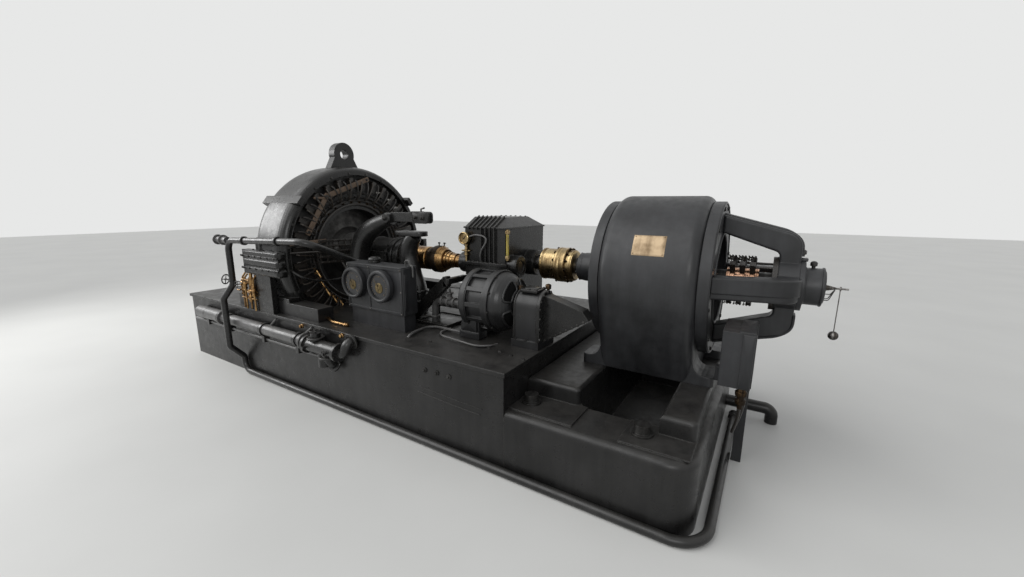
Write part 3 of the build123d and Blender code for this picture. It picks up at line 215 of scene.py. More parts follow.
# Looks in three tables, one for each shader group; columns names a table's values in their order
columns = {"paint": "Paint Worn DustColor Wear Dust Cast Low High EdgeSize Specular_IOR_Level",
           "metal": "Metal Tarnish Rings Age Low High Groove Metallic",
           "wrap": "Base Gap Bands Rough Depth Coat_Weight"}
lookTables = {
    "paint": {
        "bedPaint": ((0.0125, 0.0122, 0.012), (0.055, 0.052, 0.048), (0.05, 0.047, 0.042),
            0.5, 0.45, 0.22, 0.24, 0.42, 0.01, 0.35),
        "machinePaint": ((0.0095, 0.0093, 0.009), (0.05, 0.046, 0.04), (0.045, 0.042, 0.038),
            0.4, 0.35, 0.1, 0.2, 0.36, 0.008, 0.4),
        "motorPaint": ((0.022, 0.0225, 0.024), (0.06, 0.06, 0.06), (0.06, 0.06, 0.062),
            0.35, 0.3, 0.13, 0.32, 0.5, 0.01, 0.4),
        "pipePaint": ((0.014, 0.0138, 0.0135), (0.08, 0.072, 0.062), (0.06, 0.056, 0.05),
            0.5, 0.35, 0.15, 0.2, 0.38, 0.005, 0.45),
        "hornPaint": ((0.0125, 0.0123, 0.012), (0.05, 0.046, 0.04), (0.045, 0.042, 0.038),
            0.3, 0.3, 0.06, 0.24, 0.36, 0.006, 0.5),
        "pumpPaint": ((0.0115, 0.0115, 0.012), (0.05, 0.048, 0.045), (0.045, 0.044, 0.042),
            0.35, 0.3, 0.1, 0.26, 0.42, 0.006, 0.45),
        "greyPaint": ((0.075, 0.074, 0.073), (0.2, 0.19, 0.17), (0.14, 0.13, 0.12),
            0.5, 0.35, 0.15, 0.26, 0.42, 0.005, 0.45),
        "cabinetPaint": ((0.018, 0.0185, 0.02), (0.09, 0.088, 0.085), (0.06, 0.06, 0.06),
            0.65, 0.3, 0.1, 0.36, 0.55, 0.004, 0.4),
        # near-black paint for the sheets in the pump motor's openings: painted shade standing in for its dark
        # inside
        "openingShadePaint": ((0.0022, 0.0022, 0.0022), (0.01, 0.01, 0.01), (0.006, 0.006, 0.006),
            0.2, 0.2, 0.3, 0.7, 0.9, 0.002, 0.1),
    },
    "metal": {
        "brass": ((0.5, 0.38, 0.2), (0.15, 0.095, 0.045), 55.0, 0.5, 0.24, 0.46, 0.08, 1.0),
        "warmBrass": ((0.48, 0.3, 0.13), (0.13, 0.07, 0.03), 70.0, 0.55, 0.22, 0.42, 0.12, 1.0),
        "darkBrass": ((0.16, 0.1, 0.05), (0.03, 0.022, 0.016), 60.0, 0.75, 0.3, 0.55, 0.2, 1.0),
        "darkGold": ((0.24, 0.18, 0.085), (0.05, 0.038, 0.02), 30.0, 0.6, 0.3, 0.5, 0.1, 0.9),
        "paleBrass": ((0.4, 0.3, 0.19), (0.2, 0.14, 0.08), 14.0, 0.5, 0.42, 0.6, 0.03, 0.7),
        "copper": ((0.7, 0.42, 0.28), (0.22, 0.11, 0.06), 120.0, 0.45, 0.2, 0.4, 0.15, 1.0),
        "steel": ((0.3, 0.29, 0.28), (0.06, 0.054, 0.048), 80.0, 0.6, 0.28, 0.5, 0.15, 1.0),
        "darkSteel": ((0.07, 0.068, 0.065), (0.018, 0.017, 0.016), 40.0, 0.6, 0.32, 0.5, 0.1, 0.6),
    },
    "wrap": {
        "coreIron": ((0.016, 0.0155, 0.015), (0.006, 0.0055, 0.005), 55.0, 0.5, 0.3, 0.0),
        "coilWrap": ((0.027, 0.023, 0.0195), (0.009, 0.0075, 0.0065), 40.0, 0.34, 0.4, 0.0),
        "leadTape": ((0.05, 0.04, 0.031), (0.016, 0.012, 0.009), 40.0, 0.36, 0.4, 0.0),
        "fibreStrap": ((0.15, 0.105, 0.072), (0.075, 0.05, 0.034), 30.0, 0.7, 0.2, 0.0),
        "paleFitting": ((0.42, 0.41, 0.38), (0.24, 0.23, 0.21), 20.0, 0.45, 0.1, 0.0),
        "yellowGlass": ((0.42, 0.33, 0.05), (0.22, 0.17, 0.03), 4.0, 0.25, 0.02, 0.8),
        "dialFace": ((0.007, 0.0075, 0.009), (0.003, 0.0035, 0.0045), 6.0, 0.45, 0.02, 0.15),
    }}
looks = {name: makeMaterial(name, kind, dict(zip(columns[kind].split(), values)))
         for kind, table in lookTables.items() for name, values in table.items()}
finishOf = {
    "bedPaint": ["upper_bed", "bed_top_plate", "motor_bed", "side_rails", "drain_elbow"],
    "machinePaint": ["stator_upper_half", "stator_lower_half", "lifting_eye", "coolant_headers",
                     "bearing_pedestals", "bearing_caps", "air_horns", "lever_bars", "gear_case_upper",
                     "gear_case_lower", "drive_cover"],
    "motorPaint": ["motor_frame", "motor_end_shields", "motor_bracket", "motor_bearing"],
    "pumpPaint": ["pump_motor_frame", "pump_motor_bells", "oil_pump"],
    "pipePaint": ["oil_pipe", "floor_pipe", "pipe_straps", "line_valve"],
    "greyPaint": ["cooling_main"],
    "cabinetPaint": ["gauge_cabinet", "terminal_box"],
    "dialFace": ["gauge_dials"],
    "brass": ["low_speed_coupling", "gear_fittings"],
    "warmBrass": ["high_speed_coupling", "coolant_valve"],
    "copper": ["slip_rings"],
    "steel": ["alternator_shaft", "pinion_shaft", "gear_wheel", "pump_shaft", "shaft_end_stand", "pendulum"],
    "darkSteel": ["motor_shaft", "foundation_bolts", "rotor_disc"],
    "coreIron": ["armature_rings"],
    "coilWrap": ["coil_terminals", "brush_gear"],
}
# Each CAD node is given the look it is listed under
for look, names in finishOf.items():
    for name in names:
        cad = nodes[name]
        cad.data.materials.clear()
        cad.data.materials.append(looks[look])
print("finishes made:", len(looks))

# Shape tools: all of them work out whole arrays of points and one array of four-sided faces


def gridFaces(nu, nv, wrapV=True):
    # faces between neighbouring rows of a grid of nu by nv points, closed round the second way
    i, j = np.meshgrid(np.arange(nu - 1), np.arange(nv if wrapV else nv - 1), indexing="ij")
    k = (j + 1) % nv
    return np.stack([i * nv + j, i * nv + k, (i + 1) * nv + k, (i + 1) * nv + j], -1).reshape(-1, 4)


def axesOf(directions, hint):
    # columns: across, up, out; up is as near to the hint as the outward direction lets it be
    out = np.atleast_2d(np.asarray(directions, float))
    out = out / np.linalg.norm(out, axis=1, keepdims=True)
    across = np.cross(np.broadcast_to(np.asarray(hint, float), out.shape), out)
    across = across / np.linalg.norm(across, axis=1, keepdims=True)
    return np.stack([across, np.cross(out, across), out], -1)


def stamped(shape, places, directions, hint=(0.01, 0.02, 1.0), sizes=1.0):
    # one shape put at many places: point = place + axes times size times the shape's own point
    points, faces = shape
    places = np.atleast_2d(np.asarray(places, float))
    axes = np.broadcast_to(axesOf(directions, hint), (len(places), 3, 3))
    sizes = np.broadcast_to(np.asarray(sizes, float), (len(places),))
    copies = places[:, None] + np.einsum("nij,vj->nvi", axes, points) * sizes[:, None, None]
    shifts = np.arange(len(places))[:, None, None] * len(points)
    return copies.reshape(-1, 3), (faces[None] + shifts).reshape(-1, 4)


def turned(profile, sides=24, flats=None):
    # a line of (radius, height) turned about its height axis; with flats, rows marked True are hexagons
    profile = np.asarray(profile, float)
    angle = np.arange(sides) * 2 * pi / sides
    hexagon = cos(pi / 6) / np.cos((angle % (pi / 3)) - pi / 6)
    marks = np.zeros(len(profile)) if flats is None else np.asarray(flats, float)
    radius = profile[:, :1] * (1 + marks[:, None] * (hexagon[None] - 1))
    height = np.broadcast_to(profile[:, 1:], radius.shape)
    points = np.stack([radius * np.cos(angle), radius * np.sin(angle), height], -1).reshape(-1, 3)
    return points, gridFaces(len(profile), sides)


def slab(width, height, depth, corner, edge, turns=5):
    # rounded rectangle carried out along its normal, drawn in by the edge rounding at both ends
    quarter = np.linspace(0, pi / 2, turns)
    angle = (np.arange(4)[:, None] * pi / 2 + quarter[None]).ravel()
    middle = np.repeat(np.array([[1, 1], [-1, 1], [-1, -1], [1, -1]]), turns, axis=0)
    inset = edge * np.array([1, 0.3, 0, 0, 0.3, 1])
    level = [0, edge * 0.3, edge, depth - edge, depth - edge * 0.3, depth]
    reach = np.maximum(np.array([width, height]) / 2 - corner, 0)
    rows = []
    for drawn, z in zip(inset, level):
        line = middle * reach + np.stack([np.cos(angle), np.sin(angle)], -1) * max(corner - drawn, 1e-4)
        rows.append(np.column_stack([line, np.full(len(line), z)]))
    flat = [np.column_stack([np.zeros((len(angle), 2)), np.full(len(angle), z)]) for z in (0, depth)]
    points = np.concatenate([flat[0]] + rows + [flat[1]])
    return points, gridFaces(len(rows) + 2, len(angle))


def route(points, bend, steps=5):
    # straight runs joined by curves: each corner is a parabola between points one bend away from it
    p = np.asarray(points, float)
    if len(p) == 2:
        return p
    back = p[:-2] - p[1:-1]
    on = p[2:] - p[1:-1]
    reach = np.minimum(np.minimum(np.linalg.norm(back, axis=1), np.linalg.norm(on, axis=1)) / 2, bend)[:, None]
    a = p[1:-1] + back / np.linalg.norm(back, axis=1, keepdims=True) * reach
    b = p[1:-1] + on / np.linalg.norm(on, axis=1, keepdims=True) * reach
    t = np.linspace(0, 1, steps)[None, :, None]
    curve = (1 - t) ** 2 * a[:, None] + 2 * t * (1 - t) * p[1:-1][:, None] + t ** 2 * b[:, None]
    return np.concatenate([p[:1], curve.reshape(-1, 3), p[-1:]])


def pipe(path, radius, sides=12):
    # a circle carried along a path; each point's frame comes from the path's own direction there
    p = np.asarray(path, float)
    keep = np.concatenate([[True], np.linalg.norm(np.diff(p, axis=0), axis=1) > 1e-5])
    p = p[keep]
    ahead = np.gradient(p, axis=0)
    ahead /= np.linalg.norm(ahead, axis=1, keepdims=True)
    spread = np.abs(ahead).max(0)
    hint = np.eye(3)[int(np.argmin(spread))] + np.array([0.013, 0.021, 0.017])
    axes = axesOf(ahead, hint)
    radius = np.broadcast_to(np.asarray(radius, float), (len(p),))
    radius = np.concatenate([[0], radius, [0]])
    p = np.concatenate([p[:1], p, p[-1:]])
    axes = np.concatenate([axes[:1], axes, axes[-1:]])
    angle = np.arange(sides) * 2 * pi / sides
    ring = axes[:, None, :, 0] * np.cos(angle)[None, :, None] + axes[:, None, :, 1] * np.sin(angle)[None, :, None]
    return (p[:, None] + ring * radius[:, None, None]).reshape(-1, 3), gridFaces(len(p), sides)


def ringAt(x, y, z, radius, thick, sides=96, around=10):
    # a round bar bent to a ring in the plane across the shafts
    angle = np.radians(np.linspace(0, 360, sides))
    return pipe(spotsOf(x, y + radius * np.cos(angle), z + radius * np.sin(angle)), thick, around)


def bar(a, b, wide, deep, out, corner=0.004, edge=0.002):
    # a rounded bar from a to b, wide across it and deep along the outward direction, centred on its line
    a, b, out = (np.asarray(k, float) for k in (a, b, out))
    out = out / np.linalg.norm(out)
    length = float(np.linalg.norm(b - a))
    return stamped(slab(length, wide, deep, corner, edge), (a + b) / 2 - out * deep / 2, out,
                   np.cross(out, (b - a) / length))


def prism(outline, start, end, edge=0.002):
    # a closed (y, z) outline carried along the shafts, drawn in by the edge and closed at both ends
    line = np.asarray(outline, float)
    middle = line.mean(0)
    way = (middle - line) / np.linalg.norm(middle - line, axis=1, keepdims=True) * edge
    rows = [(start, line * 0 + middle), (start, line + way), (start + edge, line), (end - edge, line),
            (end, line + way), (end, line * 0 + middle)]
    return (np.concatenate([np.column_stack([np.full(len(line), x), row]) for x, row in rows]),
            gridFaces(len(rows), len(line)))


def band(inner, outer, length, edge=0.002):
    # the (radius, height) line of a closed ring
    return [(inner, 0), (outer - edge, 0), (outer, edge), (outer, length - edge), (outer - edge, length),
            (inner, length), (inner, 0)]


def plate(front, back):
    # a curved plate: its front grid and its back grid joined along all four sides
    middle = (front + back) / 2
    loop = np.concatenate([front, back[:, ::-1]], 1)
    close = np.concatenate([middle, middle[:, ::-1]], 1)
    loop = np.concatenate([close[:1], loop, close[-1:]])
    return loop.reshape(-1, 3), gridFaces(len(loop), loop.shape[1])


def joined(shapes):
    # several shapes as one: each shape's faces count on from the points before it
    points, faces, count = [], [], 0
    for p, f in shapes:
        points.append(p)
        faces.append(f + count)
        count += len(p)
    return np.concatenate(points), np.concatenate(faces)


def addPiece(name, shape, look, body="base", crease=35):
    # a shape or a list of shapes as one object, its doubles merged and its faces turned outwards
    points, faces = joined(shape) if isinstance(shape, list) else shape
    mesh = bpy.data.meshes.new(name)
    mesh.from_pydata(points.tolist(), [], faces.tolist())
    shell = bmesh.new()
    shell.from_mesh(mesh)
    bmesh.ops.remove_doubles(shell, verts=shell.verts, dist=2e-6)
    bmesh.ops.dissolve_degenerate(shell, edges=shell.edges, dist=1e-6)
    bmesh.ops.recalc_face_normals(shell, faces=shell.faces)
    shell.to_mesh(mesh)
    shell.free()
    mesh.shade_smooth()
    mesh.set_sharp_from_angle(angle=radians(crease))
    mesh.materials.append(looks[look])
    piece = bpy.data.objects.new(name, mesh)
    bpy.context.scene.collection.objects.link(piece)
    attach(piece, body)
    return piece


def spotsOf(x, y, z):
    # places from numbers and lists of numbers: what is given once holds for all of them
    return np.stack(np.broadcast_arrays(x, y, z), -1).astype(float)


def polar(x, y, z, radius, angles):
    # points on a circle in the plane across the shafts, and their outward directions
    angle = np.radians(np.asarray(angles, float))
    out = np.stack([np.zeros_like(angle), np.cos(angle), np.sin(angle)], -1)
    return np.array([x, y, z]) + out * radius, out


# Heads of a bolt and of a domed nut for size 1, as lines of (radius, height) and the rows that are hexagons
hexBolt = turned([(0, 0), (1.35, 0), (1.35, 0.16), (1.28, 0.2), (1.0, 0.2), (1.0, 0.2), (1.0, 0.74),
                  (0.93, 0.84), (0.8, 0.86), (0, 0.86)],
                 24, [0, 0, 0, 0, 0, 1, 1, 0.4, 0, 0])
domeNut = turned([(0, 0), (1.3, 0), (1.3, 0.15), (1.0, 0.15), (1.0, 0.15), (1.0, 0.8), (0.85, 0.95),
                  (0.62, 1.15), (0.6, 1.5), (0.5, 1.62), (0, 1.65)],
                 24, [0, 0, 0, 0, 1, 1, 0.5, 0, 0, 0, 0])


def alongBolts(places, size, side=1):
    # bolt heads that look along the shafts
    return stamped(hexBolt, places, (side, 0, 0), (0, 0.2, 1), size)


def topBolts(places, size):
    # bolt heads that look up
    return stamped(hexBolt, places, (0, 0, 1), (1, 0.1, 0), size)


def frontBolts(places, size):
    # bolt heads that look to the front
    return stamped(hexBolt, places, (0, -1, 0), (0.1, 0, 1), size)


def collar(places, inner, outer, length, sides, edge=0.002):
    # closed rings about the shafts' direction
    return stamped(turned(band(inner, outer, length, edge), sides), places, (1, 0, 0))


def bent(points, radius, sides, bend, steps=5):
    # a round bar along straight runs with rounded corners
    return pipe(route(points, bend, steps), radius, sides)


# Stator: bolts round the face ring, a raised bead, and pairs of coil leads that end at nuts
stator = {"middle": (-1.105, -0.205, 1.28), "half": 0.25, "boltCircle": 0.848, "boltSize": 0.0115,
          "boltCount": 24, "bead": 0.8325, "beadThick": 0.005, "leadCount": 32, "leadThick": 0.0075,
          "leadLift": [-0.014, 0.004, 0.02, 0.024, 0.012, -0.01, -0.04, -0.068],
          "leadReach": [0.77, 0.775, 0.755, 0.705, 0.65, 0.605, 0.575, 0.568],
          "leadTurn": 2.2, "leadSweep": 3.2, "nutDepth": 0.071, "nutCircle": 0.548, "nutSize": 0.013}


def makeStator(s):
    x, y, z = s["middle"]
    angles = (np.arange(s["boltCount"]) + 0.5) * 360 / s["boltCount"]
    start = (np.arange(s["leadCount"]) + 0.5) * 360 / s["leadCount"]
    reach = np.array(s["leadReach"])
    sweep = np.linspace(0, s["leadSweep"], len(reach))[None]
    bolts, beads, leads, tapes, nuts = [], [], [], [], []
    for side in (1, -1):
        face = x + side * (s["half"] + 0.0001)
        places, _ = polar(face, y, z, s["boltCircle"], angles)
        bolts.append(alongBolts(places, s["boltSize"], side))
        beads.append(ringAt(face, y, z, s["bead"], s["beadThick"]))
        lift = side * np.array(s["leadLift"])
        for way, group in ((-1, leads), (1, tapes)):
            for row in np.radians(start[:, None] + way * s["leadTurn"] + way * sweep):
                path = np.stack([face + lift, y + reach * np.cos(row), z + reach * np.sin(row)], -1)
                group.append(pipe(path, s["leadThick"], 7))
        inner, _ = polar(face - side * s["nutDepth"], y, z, s["nutCircle"], start)
        nuts.append(stamped(domeNut, inner, (side, 0, 0), (0, 0.2, 1), s["nutSize"]))
    addPiece("statorFaceBolts", bolts, "darkSteel")
    addPiece("statorBeads", beads, "machinePaint")
    addPiece("coilLeads", leads, "coilWrap")
    addPiece("tapedLeads", tapes, "leadTape")
    addPiece("coilNuts", nuts, "darkBrass")


makeStator(stator)

# Fibre straps across the stator face, with a bolt near each end; step is how far each lies over the last
straps = {"face": -0.8545, "widths": (0.05, 0.05, 0.022), "thick": 0.012, "lift": 0.004, "step": 0.003,
          "boltIn": 0.06, "boltSize": 0.011,
          "runs": [[(-0.075, 2.076), (-0.636, 1.872)], [(-0.60, 1.905), (-0.856, 1.504)],
                   [(-0.758, 1.861), (-0.56, 1.863)]]}


def makeStraps(s):
    shapes, bolts = [], []
    for k, (a, b) in enumerate(s["runs"]):
        a, b = np.array(a), np.array(b)
        length = float(np.linalg.norm(b - a))
        middle = (a + b) / 2
        strip = slab(length, s["widths"][k], s["thick"], 0.008, 0.003)
        x = s["face"] + s["lift"] + s["step"] * k
        up = np.cross((1, 0, 0), np.array([0, *(b - a)]) / length)
        shapes.append(stamped(strip, (x, *middle), (1, 0, 0), up))
        for end in (a, b):
            spot = end + (middle - end) / length * s["boltIn"]
            bolts.append(stamped(hexBolt, (x + s["thick"], *spot), (1, 0, 0), (0, 0, 1), s["boltSize"]))
    addPiece("faceStraps", shapes, "fibreStrap")
    addPiece("strapBolts", bolts, "darkSteel")


makeStraps(straps)
print("stator dressed")

# Motor: shield bolts, bare plate on the drum and its pins; plate is left, right and the two edge angles
motor = {"axis": (0.115, 1.28), "drum": 0.6, "shieldX": 2.74, "boltCircle": 0.525, "boltSize": 0.015,
         "bolts": 12, "plate": (2.235, 2.452, 146.6, 160.8)}


def makeMotor(m):
    y, z = m["axis"]
    angles = (np.arange(m["bolts"]) + 0.5) * 360 / m["bolts"]
    places, _ = polar(m["shieldX"], y, z, m["boltCircle"], angles)
    addPiece("motorShieldBolts", stamped(hexBolt, places, (1, 0, 0), (0, 0.3, 1), m["boltSize"]), "darkSteel")
    # bare plate: radius rises from the drum at the plate's edge to a thin border and a flat middle
    left, right, high, low = m["plate"]
    u = np.linspace(0, 1, 25)[:, None]
    v = np.linspace(0, 1, 19)[None]
    x = left + (right - left) * u + 0 * v
    angle = np.radians(high + (low - high) * v + 0 * u)
    inward = np.minimum(np.minimum(u, 1 - u) * 0.217, np.minimum(v, 1 - v) * 0.149)
    lift = np.interp(inward, [0, 0.0012, 0.009, 0.0105, 0.2], [0, 0.0028, 0.0028, 0.0018, 0.0018])

    def sheet(radius):
        return np.stack([x, y + radius * np.cos(angle), z + radius * np.sin(angle)], -1)

    addPiece("motorPlate", plate(sheet(m["drum"] + lift), sheet(m["drum"] - 0.004 + 0 * lift)), "paleBrass")
    pins, out = polar(0, y, z, m["drum"], [high + 1.2, low - 1.2])
    spots = np.concatenate([pins + (left + 0.012, 0, 0), pins + (right - 0.012, 0, 0)])
    addPiece("platePins", stamped(turned([(0, 0), (1, 0), (0.9, 0.4), (0.5, 0.7), (0, 0.8)], 12), spots,
                                  np.concatenate([out, out]), (1, 0, 0), 0.005), "darkBrass")


makeMotor(motor)
print("motor dressed")

# Terminal lattice in front of the lower left coils, with its stand-offs and a bent feed pipe under it
lattice = {"x": -0.75, "ends": (-0.79, -0.215), "low": (1.225, 1.205), "high": (1.453, 1.436), "posts": 9,
           "rails": 5, "postWide": 0.018, "railWide": 0.022, "stud": 0.007, "tailThick": 0.0055,
           "standOff": 0.011, "standOffs": [((-0.75, -0.79, 1.34), (-0.851, -1.045, 1.34)),
                                            ((-0.75, -0.56, 1.215), (-0.655, -0.56, 1.105)),
                                            ((-0.75, -0.30, 1.215), (-0.655, -0.33, 1.12))],
           "feed": [(-0.853, -1.037, 1.16), (-0.79, -0.98, 1.10), (-0.78, -0.80, 1.035), (-0.76, -0.60, 1.035),
                    (-0.655, -0.45, 1.09)], "feedThick": 0.010,
           "strap": ((-0.848, -1.043, 1.425), (-0.745, -0.72, 1.447))}


def makeLattice(s):
    x, count = s["x"], s["posts"]
    y = np.linspace(*s["ends"], count)
    low, high = np.linspace(*s["low"], count), np.linspace(*s["high"], count)
    shapes = [bar((x, a, b), (x, a, c), s["postWide"], 0.012, (1, 0, 0)) for a, b, c in zip(y, low, high)]
    spots = []
    for share in np.linspace(0.03, 0.97, s["rails"]):
        level = low + (high - low) * share
        shapes.append(bar((x + 0.011, y[0] - 0.025, level[0]), (x + 0.011, y[-1] + 0.025, level[-1]),
                          s["railWide"], 0.010, (1, 0, 0)))
        spots.append(spotsOf(x + 0.016, y, level))
    spots = np.concatenate(spots)
    shapes.append(stamped(domeNut, spots, (1, 0, 0), (0, 0.2, 1), s["stud"]))
    for k, spot in enumerate(spots):
        lean = 0.03 * sin(k * 2.3)
        tail = [spot, (x - 0.05, spot[1] + lean, spot[2]), (x - 0.105, spot[1] + lean, spot[2] - 0.02)]
        shapes.append(pipe(tail, s["tailThick"], 6))
    shapes += [pipe(ends, s["standOff"], 8) for ends in s["standOffs"]]
    addPiece("terminalLattice", shapes, "coilWrap")
    addPiece("latticeFeed", bent(s["feed"], s["feedThick"], 12, 0.09, 7), "pipePaint")
    addPiece("latticeStrap", bar(*s["strap"], 0.032, 0.008, (1, -0.3, 0)), "fibreStrap")


makeLattice(lattice)

# Insulators, rods and rings round the inside of the stator, brass clips at the lower left
insulators = {"x": -0.862, "axis": (-0.205, 1.28), "circle": 0.695, "size": 0.011,
              "pale": (44.0, 55.5, 68.9), "rods": 64, "rodCircles": ((0.60, 0.006), (0.645, 0.005)),
              "rodFaces": ((-0.926, 1), (-1.284, -1)), "ringFaces": (-0.915, -1.295),
              "rings": ((0.565, 0.011), (0.52, 0.014), (0.60, 0.006), (0.645, 0.005)),
              "clips": 9, "clipStart": 192, "clipStep": 5.5, "clipCircle": 0.585, "clipX": -0.90}


def makeInsulators(s):
    y, z = s["axis"]
    places, _ = polar(s["x"], y, z, s["circle"], s["pale"])
    shape = turned([(0, 0), (0.8, 0), (1, 0.3), (0.75, 0.8), (1, 1.4), (0.75, 2.0), (1, 2.6), (0.7, 3.2),
                    (0.35, 3.4), (0.35, 5.2), (0, 5.3)], 14)
    addPiece("paleInsulators", stamped(shape, places, (1, 0, 0), (0, 0.2, 1), s["size"]), "paleFitting")
    rod = turned([(0, 0), (1, 0), (1, 5), (1.5, 5), (1.5, 6.2), (0.7, 6.6), (0, 6.7)], 8)
    angles = np.arange(s["rods"]) * 360 / s["rods"] + 2
    rods = []
    for radius, size in s["rodCircles"]:
        for x, side in s["rodFaces"]:
            rods.append(stamped(rod, polar(x, y, z, radius, angles)[0], (side, 0, 0), (0, 0.2, 1), size))
    for radius, thick in s["rings"]:
        rods += [ringAt(x, y, z, radius, thick, 96, 8) for x in s["ringFaces"]]
    addPiece("innerLeads", rods, "coilWrap")
    # brass clips and short tubes low at the left of the opening
    angles = s["clipStart"] + np.arange(s["clips"]) * s["clipStep"]
    spots, _ = polar(s["clipX"], y, z, s["clipCircle"], angles)
    clips = [stamped(domeNut, spots, (1, 0, 0), (0, 0.2, 1), 0.012)]
    for spot in spots[::2]:
        clips.append(pipe([spot, spot + (0.05, -0.01, -0.02), spot + (0.085, 0.01, -0.09)], 0.009, 10))
    addPiece("brassClips", clips, "warmBrass")


makeInsulators(insulators)

# Bearing housings: flanged bands (x, radius, length), cap bolts, braided lead beside the first horn
bearing = {"axis": (-0.205, 1.28), "radius": 0.175,
           "bands": ((-0.56, 0.184, 0.030), (-0.30, 0.183, 0.022), (-0.235, 0.190, 0.034), (-0.147, 0.186, 0.026),
                     (-1.965, 0.184, 0.030), (-1.650, 0.184, 0.030)),
           "boltX": -0.1195, "boltCircle": 0.155, "boltSize": 0.010, "capX": (-0.62, -0.28, -1.93, -1.59),
           "capReach": 0.17, "capTop": 1.33, "capBolt": 0.022, "leadThick": 0.0075,
           "lead": [(-0.615, -0.44, 1.13), (-0.59, -0.43, 1.225), (-0.49, -0.43, 1.319), (-0.438, -0.43, 1.384),
                    (-0.38, -0.43, 1.448), (-0.357, -0.43, 1.539), (-0.284, -0.43, 1.611), (-0.20, -0.47, 1.635)]}


def makeBearing(s):
    y, z = s["axis"]
    addPiece("bearingBands", [collar((x, y, z), s["radius"] - 0.003, radius, length, 64, edge=0.004)
                              for x, radius, length in s["bands"]], "machinePaint")
    spots = np.array([[x, y + side * s["capReach"], s["capTop"]] for x in s["capX"] for side in (-1, 1)])
    places, _ = polar(s["boltX"], y, z, s["boltCircle"], np.arange(8) * 45 + 22)
    addPiece("bearingBolts", [topBolts(spots, s["capBolt"]), alongBolts(places, s["boltSize"])], "darkSteel")
    addPiece("braidedLead", bent(s["lead"], s["leadThick"], 10, 0.05), "paleFitting")


makeBearing(bearing)

# Lever over the horns: boss (x, z, radius), fork plates between two x values, pins and hooks
lever = {"y": -0.505, "z": 1.69, "half": 0.02, "boss": (-0.055, 1.675, 0.052), "clevis": (0.27, 0.46),
         "pin": (0.40, 1.69)}


def makeLever(s):
    y, z = s["y"], s["z"]
    left, right = s["clevis"]
    px, pz, radius = s["boss"]
    parts = [stamped(turned([(0, 0), (0.8, 0), (1, 0.25), (1, 2.2), (0.8, 2.45), (0, 2.45)], 32),
                     (px, y - 0.062, pz), (0, 1, 0), (1, 0, 0.1), radius)]
    for side in (-1, 1):
        at = y + side * (s["half"] + 0.008)
        parts.append(bar((left, at, z), (right, at, z), 0.105, 0.016, (0, side, 0), 0.03, 0.004))
    parts.append(bar((left - 0.03, y, z + 0.047), (right - 0.1, y, z + 0.047), 0.07, 0.016, (0, 0, 1), 0.01))
    addPiece("leverFittings", parts, "machinePaint")
    qx, qz = s["pin"]
    pins = stamped(domeNut, [(qx, y - 0.036, qz), (left + 0.04, y - 0.036, z), (px, y - 0.063, pz)],
                   (0, -1, 0), (1, 0, 0.1), [0.02, 0.014, 0.018])
    addPiece("leverPins", pins, "darkSteel")
    curl = [(-0.015, y, 1.70), (0.02, y - 0.01, 1.775), (0.07, y - 0.01, 1.765), (0.06, y, 1.728)]
    addPiece("leverHooks", [bent(curl, 0.006, 8, 0.03),
                            pipe([(0.35, y, 1.73), (0.35, y, 1.765), (0.39, y, 1.775)], 0.008, 8)], "darkSteel")


makeLever(lever)
print("bearings and levers dressed")

# Couplings: dark flange with bolts and two knobs on the fast one, bolted flange on the slow one.
# Rows of steps, rings and neck are x, inner radius, outer radius, length, sides and edge.
couplings = {"fast": (-0.205, 1.28), "shellX": 0.189,
             "shell": [(0.098, 0.0), (0.108, 0.0), (0.111, 0.004), (0.111, 0.058), (0.116, 0.064),
                       (0.1285, 0.066), (0.1315, 0.072), (0.1315, 0.132), (0.1285, 0.138), (0.106, 0.170),
                       (0.101, 0.178), (0.098, 0.178), (0.098, 0.0)],
             "fastBolts": 8, "fastBoltX": 0.3325, "fastCircle": 0.119, "fastBolt": 0.009,
             "knobX": (0.285, 0.32), "knobAngles": (90, 76), "knobCircle": 0.1305, "knob": 0.0115,
             "steps": ((0.372, 0.066, 0.083, 0.05, 48), (0.012, 0.096, 0.1135, 0.166, 64, 0.004),
                       (0.424, 0.066, 0.076, 0.03, 48), (0.521, 0.044, 0.058, 0.05, 40),
                       (0.0, 0.096, 0.1035, 0.018, 64), (0.088, 0.096, 0.1015, 0.014, 64)),
             "slow": (0.115, 1.28), "slowFlange": (1.432, 0.154, 0.108), "slowBore": 0.137,
             "slowRings": ((1.292, 0.136, 0.1425, 0.016, 72), (1.575, 0.131, 0.1375, 0.012, 72)),
             "slowBolts": 12, "slowCircle": 0.146, "slowBolt": 0.0115,
             "neck": (1.642, 0.103, 0.118, 0.045, 48, 0.005), "neckBoltX": 1.641, "neckCircle": 0.110,
             "neckBolt": 0.009, "coneX": 1.686,
             "cone": [(0.10, 0), (0.121, 0), (0.124, 0.05), (0.137, 0.12), (0.160, 0.18), (0.195, 0.222),
                      (0.10, 0.222), (0.10, 0)]}


